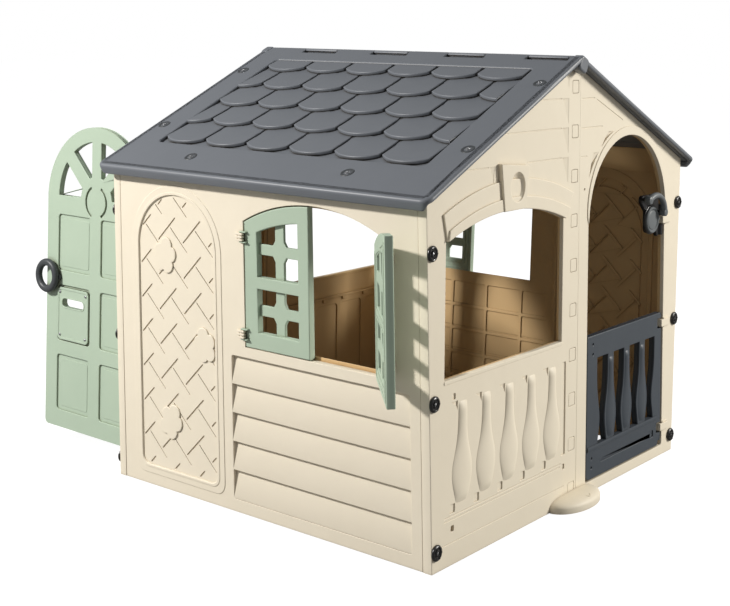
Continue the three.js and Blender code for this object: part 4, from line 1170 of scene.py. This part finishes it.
def knuckle(s):
    """The rounded end of the ridge, which closes over the neighbouring panel's corner."""
    turn = Matrix(((0, 0, 1, 0), (1, 0, 0, 0), (0, 1, 0, 0), (0, 0, 0, 1)))
    outline = rounded(-36, 5, -38, 3, 11, 6)
    s.plate([outline], -ROOF_HALF_LENGTH - 1, -ROOF_HALF_LENGTH + 26, 6, 4, turn)


def ridge_edge(edge):
    """The top line of the panel with its four notches, from the left end to the right."""
    points = [(-ROOF_HALF_LENGTH, edge)]
    for a, b in notch_spans():
        points += [(a, edge), (a, -26), (b, -26), (b, edge)]
    points.append((ROOF_HALF_LENGTH, edge))
    return points[::-1]


def rounded_eave(length, nose, radius):
    q = math.pi / 2
    return (arc(-length + radius, nose + radius, radius, 2 * q, 3 * q, 6)
            + arc(length - radius, nose + radius, radius, 3 * q, 4 * q, 6))


def tongue_spans(grow):
    """Where the four tongues stand along the ridge."""
    return [(i * TONGUE_PITCH + 4 - grow, i * TONGUE_PITCH + 124 + grow) for i in (-4, -2, 0, 2)]


def notch_spans():
    """The notches that take the other panel's tongues, from left to right."""
    return sorted((-b, -a) for a, b in tongue_spans(NOTCH_ROOM))


def rim(s, length, nose):
    """The rolled rim: round along both rakes, and hanging down along the eave."""
    corner, steps = 24, 8
    path = [(-length, -8, 180, 0)]
    shares = [i / steps for i in range(steps + 1)]
    path += [(-length + corner, nose + corner, 180 + 90 * share, share) for share in shares]
    path += [(length - corner, nose + corner, 270 + 90 * share, 1 - share) for share in shares]
    path.append((length, -8, 0, 0))
    bm = bmesh.new()
    rows = []
    for index, (x, y, degrees, share) in enumerate(path):
        a = math.radians(degrees)
        nx, ny = math.cos(a), math.sin(a)
        reach = corner if 0 < index < len(path) - 1 else 0
        hang = ROOF_LIP * min(1, max(0, 2.2 * share - 1.0))
        px, py = x + nx * reach, y + ny * reach
        rows.append([bm.verts.new((px - nx * d, py - ny * d, w)) for d, w in rim_section(hang)])
    for a, b in zip(rows, rows[1:]):
        for k in range(len(a)):
            m = (k + 1) % len(a)
            bm.faces.new((a[k], b[k], b[m], a[m]))
    bm.faces.new(rows[0][::-1])
    bm.faces.new(rows[-1])
    s.take(bm, None)


def rim_section(hang):
    """The rim's cross-section: [in from the edge, out], round on top and at its foot."""
    low = -ROOF_THICK - hang
    top = arc(8, -8, 8, math.pi / 2, math.pi, 8)
    foot = arc(5.5, low + 5.5, 5.5, math.pi, 1.5 * math.pi, 6)
    return [(20, 0)] + top + foot + [(9, low), (11, low + 2), (12, -ROOF_THICK), (20, -ROOF_THICK)]


def shingle_outline(x, low, height, width):
    half, rise = width / 2, 26
    radius = (half * half + rise * rise) / (2 * rise)
    reach = math.asin(half / radius)
    bottom = arc(x, low + radius, radius, 1.5 * math.pi - reach, 1.5 * math.pi + reach, 18)
    return bottom + [(x + half, low + height), (x - half, low + height)]


def clip_side(loop, limit, keep_below):
    """Cuts a loop with an upright line."""
    out = []
    for (x0, y0), (x1, y1) in zip(loop, loop[1:] + loop[:1]):
        in0 = x0 <= limit if keep_below else x0 >= limit
        in1 = x1 <= limit if keep_below else x1 >= limit
        if in0:
            out.append((x0, y0))
        if in0 != in1:
            t = (limit - x0) / (x1 - x0)
            out.append((limit, y0 + t * (y1 - y0)))
    return out


def clip_top(loop, limit):
    turned_loop = [(y, x) for x, y in loop]
    return [(x, y) for y, x in clip_side(turned_loop, limit, True)]


def shingle_field(s):
    """Five lapped rows, each shingle tilted so that its rounded lower lip stands proud."""
    width = 2 * FIELD_SIDE / ACROSS
    for row in range(ROWS):
        whole = row % 2 == 0
        low = FIELD_LOW + row * SHINGLE_PITCH + 4
        for i in range(ACROSS if whole else ACROSS + 1):
            x = -FIELD_SIDE + (i + 0.5 if whole else i) * width
            loop = shingle_outline(x, low, SHINGLE_PITCH + 14, width - 9)
            loop = clip_side(loop, FIELD_SIDE - 1.5, True)
            loop = clip_side(loop, -FIELD_SIDE + 1.5, False)
            loop = clip_top(loop, FIELD_TOP - 1)
            s.plate([loop], -6, 4.6, 3.2, 4, about((0, low, 0), SHINGLE_TILT, "X"))


def tongues(s):
    for a, b in tongue_spans(0):
        s.plate([rounded(a, b, -24, 8, 3, 3)], -12, -4, 1.5, 2)


# ---------------------------------------------------------------- fasteners and feet

def corner_bolt():
    """A black cap with a stepped rim and six small ribs round its middle."""
    s = Solid()
    profile = [(0, -50), (5, -50), (5, 0.3), (17.4, 0.3), (18, 1.2), (18, 4.4), (16.6, 6.2), (13.8, 7.2),
               (12.2, 6.6), (11.2, 5.0), (8.6, 5.0), (7.8, 7.0), (6.6, 8.0), (4.6, 8.0), (4.2, 5.4), (0, 5.4)]
    s.turned(profile, 32)
    for i in range(6):
        turn = Matrix.Rotation(i * math.pi / 3, 4, "Z")
        s.plate([rounded(11.5, 15.5, -1.6, 1.6, 1, 2)], 4.5, 7.9, 0.6, 1, turn)
    return s.mesh("corner_bolt")


def bolt_pip():
    """The bright middle of a corner bolt."""
    s = Solid()
    s.turned([(0, 5.0), (3.4, 5.0), (3.4, 6.0), (2.4, 6.6), (0, 6.8)], 16)
    return s.mesh("bolt_pip")


def roof_screw():
    """A pan-head screw with a small raised cross, on a washer."""
    s = Solid()
    profile = [(0, -42), (2.2, -42), (2.2, 0.3), (6.9, 0.3), (7, 0.9), (6.0, 1.4), (5.4, 1.5), (4.9, 2.6),
               (3.4, 3.2), (1.2, 3.2), (1.0, 1.8), (0, 1.8)]
    s.turned(profile, 20)
    for turn in (0, math.pi / 2):
        bar = Matrix.Rotation(turn, 4, "Z")
        s.plate([rounded(-3.6, 3.6, -0.6, 0.6, 0.5, 2)], 2.2, 3.5, 0.2, 1, bar)
    return s.mesh("roof_screw")


def screw_shade_dish():
    """The dished seat round a roof screw, coloured dark as painted shade for the shadowed recess the screw
    sits in.
    """
    s = Solid()
    profile = [(9, -1.4), (17, -1.4), (17.4, 0.2), (16.2, 1.2), (13, 0.9), (9.4, 0.1)]
    s.turned(profile + profile[:1], 28)
    return s.mesh("screw_shade_dish")


def anchor_foot():
    """A domed half-oval foot in front of the seam, with a hole for a ground peg."""
    s = Solid()
    steps, rows, middle, back = 40, 12, 18, -GABLE_FACE - 0.3
    half_turn = arc(middle, 0, 1, math.pi, 2 * math.pi, steps)
    bm = bmesh.new()
    grid = []
    for i in range(rows + 1):
        b = i / rows * math.pi / 2
        reach, height = 106 * math.cos(b) ** 0.55, 12 + 18 * math.sin(b)
        spots = [(middle + (x - middle) * reach, back + y * reach * 0.563, height) for x, y in half_turn]
        grid.append([bm.verts.new(spot) for spot in spots])
    skirt = [[bm.verts.new((v.co.x, v.co.y, height)) for v in grid[0]] for height in (0, 5)]
    levels = skirt + grid
    for a, b in zip(levels, levels[1:]):
        for k in range(steps):
            bm.faces.new((a[k], a[k + 1], b[k + 1], b[k]))
    bmesh.ops.remove_doubles(bm, verts=bm.verts, dist=0.01)
    bmesh.ops.holes_fill(bm, edges=[e for e in bm.edges if e.is_boundary], sides=0)
    s.take(bm, None)
    peg_hole = [(0, 20), (11.5, 20), (11.5, 27.8), (10.2, 28.8), (8.8, 27.6), (8.4, 22), (0, 22)]
    s.turned(peg_hole, 20, Matrix.Translation((26, -GABLE_FACE - 40, -1.2)))
    return s.mesh("anchor_foot")


# ---------------------------------------------------------------- assembly

def build_gables():
    halves = (("window_half", window_half()), ("door_half", door_half()))
    bolt, pip, foot = corner_bolt(), bolt_pip(), anchor_foot()
    for name, turn in (("front", Matrix.Identity(4)), ("back", HALF_TURN)):
        for half, mesh in halves:
            node = f"{name}_gable_{half}"
            piece(f"look_{node}", mesh, turn @ GABLE, CREAM, "house", node)
        node = f"{name}_anchor_foot"
        piece(f"look_{node}", foot, turn @ WORLD, CREAM, "house", node)
        for hand, end in ((-1, "window_side"), (1, "door_side")):
            for i, z in enumerate(BOLT_HEIGHTS):
                at = turn @ GABLE @ Matrix.Translation((hand * (wall_x(z) - BOLT_INSET), z, 0))
                node = f"{name}_bolt_{end}_{i + 1}"
                piece(f"look_{node}", bolt, at, BLACK, "house", node)
                piece(f"look_{node}_pip", pip, at, STEEL, "house")


def build_sides():
    mesh = wall()
    leaves = {-1: shutter(-1), 1: shutter(1)}
    names = {-1: "centre", 1: "corner"}
    hinges = {-1: SIDE_WINDOW[0] - PIN_BESIDE, 1: SIDE_WINDOW[1] + PIN_BESIDE}
    for name, turn, rest in (("left", Matrix.Identity(4), {-1: 0, 1: SHUTTER_REST}),
                             ("right", HALF_TURN, {-1: SHUTTER_REST, 1: 0})):
        piece(f"look_{name}_wall", mesh, turn @ WALL, CREAM, "house", f"{name}_wall")
        for side in (-1, 1):
            node = f"{name}_shutter_{names[side]}"
            at = turn @ WALL @ swing(hinges[side], PIN_OUT, side * rest[side])
            piece(f"look_{node}", leaves[side], at, SAGE, node, node)


def screw_spots():
    eave = [(u, -650.4) for u in (-260, 260)]
    return eave + [(s * 505, -down) for down in (160.7, 501.9) for s in (-1, 1)]


def build_roof():
    mesh, screw, dish = roof_panel(), roof_screw(), screw_shade_dish()
    for name, turn in (("left", Matrix.Identity(4)), ("right", HALF_TURN)):
        piece(f"look_{name}_roof_panel", mesh, turn @ ROOF, SLATE, "house", f"{name}_roof_panel")
        for i, (u, v) in enumerate(screw_spots()):
            at = turn @ ROOF @ Matrix.Translation((u, v, 0))
            node = f"{name}_roof_screw_{i + 1}"
            piece(f"look_{node}", screw, at, STEEL, "house", node)
            # The charcoal dish round each screw is painted shade for its recess.
            piece(f"look_{node}_dish", dish, at, CHARCOAL, "house")


def build_leaves():
    front = GABLE
    piece("look_front_gate", gate(), front, GATE_GREY, "front_gate", "front_gate")
    piece("look_phone_base", phone_base(), front, BLACK, "phone", "phone_base")
    piece("look_phone_dial", phone_dial(), front, PHONE_GREY, "phone_dial", "phone_dial")
    piece("look_phone_handset", handset(), front, PHONE_GREY, "handset", "phone_handset")
    door = HALF_TURN @ GABLE @ swing(AXIS_X, AXIS_W, DOOR_REST)
    piece("look_back_door", back_door(), door, SAGE, "back_door", "back_door")
    piece("look_door_pull_ring", pull_ring(), door, CHARCOAL, "back_door", "door_pull_ring")
    piece("look_letter_plate", letter_plate(), door, SAGE, "back_door", "letter_plate")
    screw = letter_screw()
    for i, (x, z) in enumerate(letter_screws()):
        at = door @ Matrix.Translation((x, z, 2.4))
        node = f"letter_plate_screw_{i + 1}"
        piece(f"look_{node}", screw, at, STEEL, "back_door", node)


# ---------------------------------------------------------------- camera, light and floor

CAMERA_AT = (-3.009, -2.243, 1.211)
CAMERA_AHEAD = (0.7806, 0.625, 0)
CAMERA_LENS = 66.4
CAMERA_ROLL = 0.0134
CAMERA_SHIFT = -0.380
CAMERA_SLACK, FAR_AWAY = 0.01, 100
AMBIENT = 0.26
FLOOR_GREY, FLOOR_GLOW = 0.25, 0.92


def build_camera():
    data = bpy.data.cameras.new("camera")
    data.sensor_width = 36
    data.lens = CAMERA_LENS
    camera = bpy.data.objects.new("camera", data)
    bpy.context.scene.collection.objects.link(camera)
    ahead = Vector(CAMERA_AHEAD).normalized()
    right = ahead.cross(Vector((0, 0, 1))).normalized()
    up = right.cross(ahead)
    turn = Matrix((right, up, -ahead)).transposed().to_4x4()
    roll_by = Matrix.Rotation(CAMERA_ROLL, 4, "Z")
    camera.matrix_world = HOUSE @ Matrix.Translation(CAMERA_AT) @ turn @ roll_by
    shift_from_here(data, camera)
    bpy.context.scene.camera = camera


def shift_from_here(data, camera):
    """Shifts the lens down at the camera's own place only, so that any other view stays centred."""
    curve = data.driver_add("shift_y")
    curve.driver.type = "SUM"
    where = curve.driver.variables.new()
    where.type = "TRANSFORMS"
    where.targets[0].id = camera
    where.targets[0].transform_type = "LOC_X"
    for modifier in list(curve.modifiers):
        curve.modifiers.remove(modifier)
    near, beyond = CAMERA_AT[0] - CAMERA_SLACK, CAMERA_AT[0] + CAMERA_SLACK
    for x, shift in ((-FAR_AWAY, 0), (near, CAMERA_SHIFT), (beyond, 0)):
        curve.keyframe_points.insert(x, shift).interpolation = "CONSTANT"


def soft_light(name, place, target, size, power, colour=(1, 1, 1)):
    data = bpy.data.lights.new(name, "AREA")
    data.shape = "SQUARE"
    data.size = size
    data.energy = power
    data.color = colour
    obj = bpy.data.objects.new(name, data)
    bpy.context.scene.collection.objects.link(obj)
    obj.location = place
    obj.rotation_mode = "QUATERNION"
    obj.rotation_quaternion = (Vector(target) - Vector(place)).to_track_quat("-Z", "Y")
    return obj


def build_lights():
    scene = bpy.context.scene
    scene.view_settings.view_transform = "Standard"
    world = bpy.data.worlds.new("studio")
    scene.world = world
    world.use_nodes = True
    tree = world.node_tree
    ambient = tree.nodes["Background"]
    ambient.inputs["Color"].default_value = (1, 1, 1, 1)
    ambient.inputs["Strength"].default_value = AMBIENT
    seen = tree.nodes.new("ShaderNodeBackground")
    seen.inputs["Color"].default_value = (1, 1, 1, 1)
    rays = tree.nodes.new("ShaderNodeLightPath")
    mix = tree.nodes.new("ShaderNodeMixShader")
    tree.links.new(rays.outputs["Is Camera Ray"], mix.inputs["Fac"])
    tree.links.new(ambient.outputs[0], mix.inputs[1])
    tree.links.new(seen.outputs[0], mix.inputs[2])
    tree.links.new(mix.outputs[0], tree.nodes["World Output"].inputs["Surface"])
    soft_light("key", (-3.7, 2.2, 2.9), (-0.5, -0.2, 0.5), 0.36, 246, (1, 0.97, 0.93))
    soft_light("front", (3.9, -5.2, 2.9), (0.1, -0.7, 0.4), 1.4, 405, (1, 0.965, 0.90))


def build_floor():
    """A plain white floor; a little of its own light keeps it as pale as the backdrop."""
    bm = bmesh.new()
    bmesh.ops.create_grid(bm, x_segments=2, y_segments=2, size=30)
    mesh = bpy.data.meshes.new("floor")
    bm.to_mesh(mesh)
    bm.free()
    floor = bpy.data.objects.new("floor", mesh)
    bpy.context.scene.collection.objects.link(floor)
    n = Nodes("floor")
    n.shader.inputs["Base Color"].default_value = (FLOOR_GREY, FLOOR_GREY, FLOOR_GREY, 1)
    n.shader.inputs["Roughness"].default_value = 0.9
    rays = n.node("ShaderNodeLightPath")
    glow = n.maths("MULTIPLY", rays.outputs["Is Camera Ray"], FLOOR_GLOW)
    n.shader.inputs["Emission Color"].default_value = (1, 1, 1, 1)
    n.link(glow, "Emission Strength")
    mesh.materials.append(n.material)
    floor.location.z = -0.002


build_gables()
build_sides()
build_roof()
build_leaves()
build_camera()
build_lights()
build_floor()
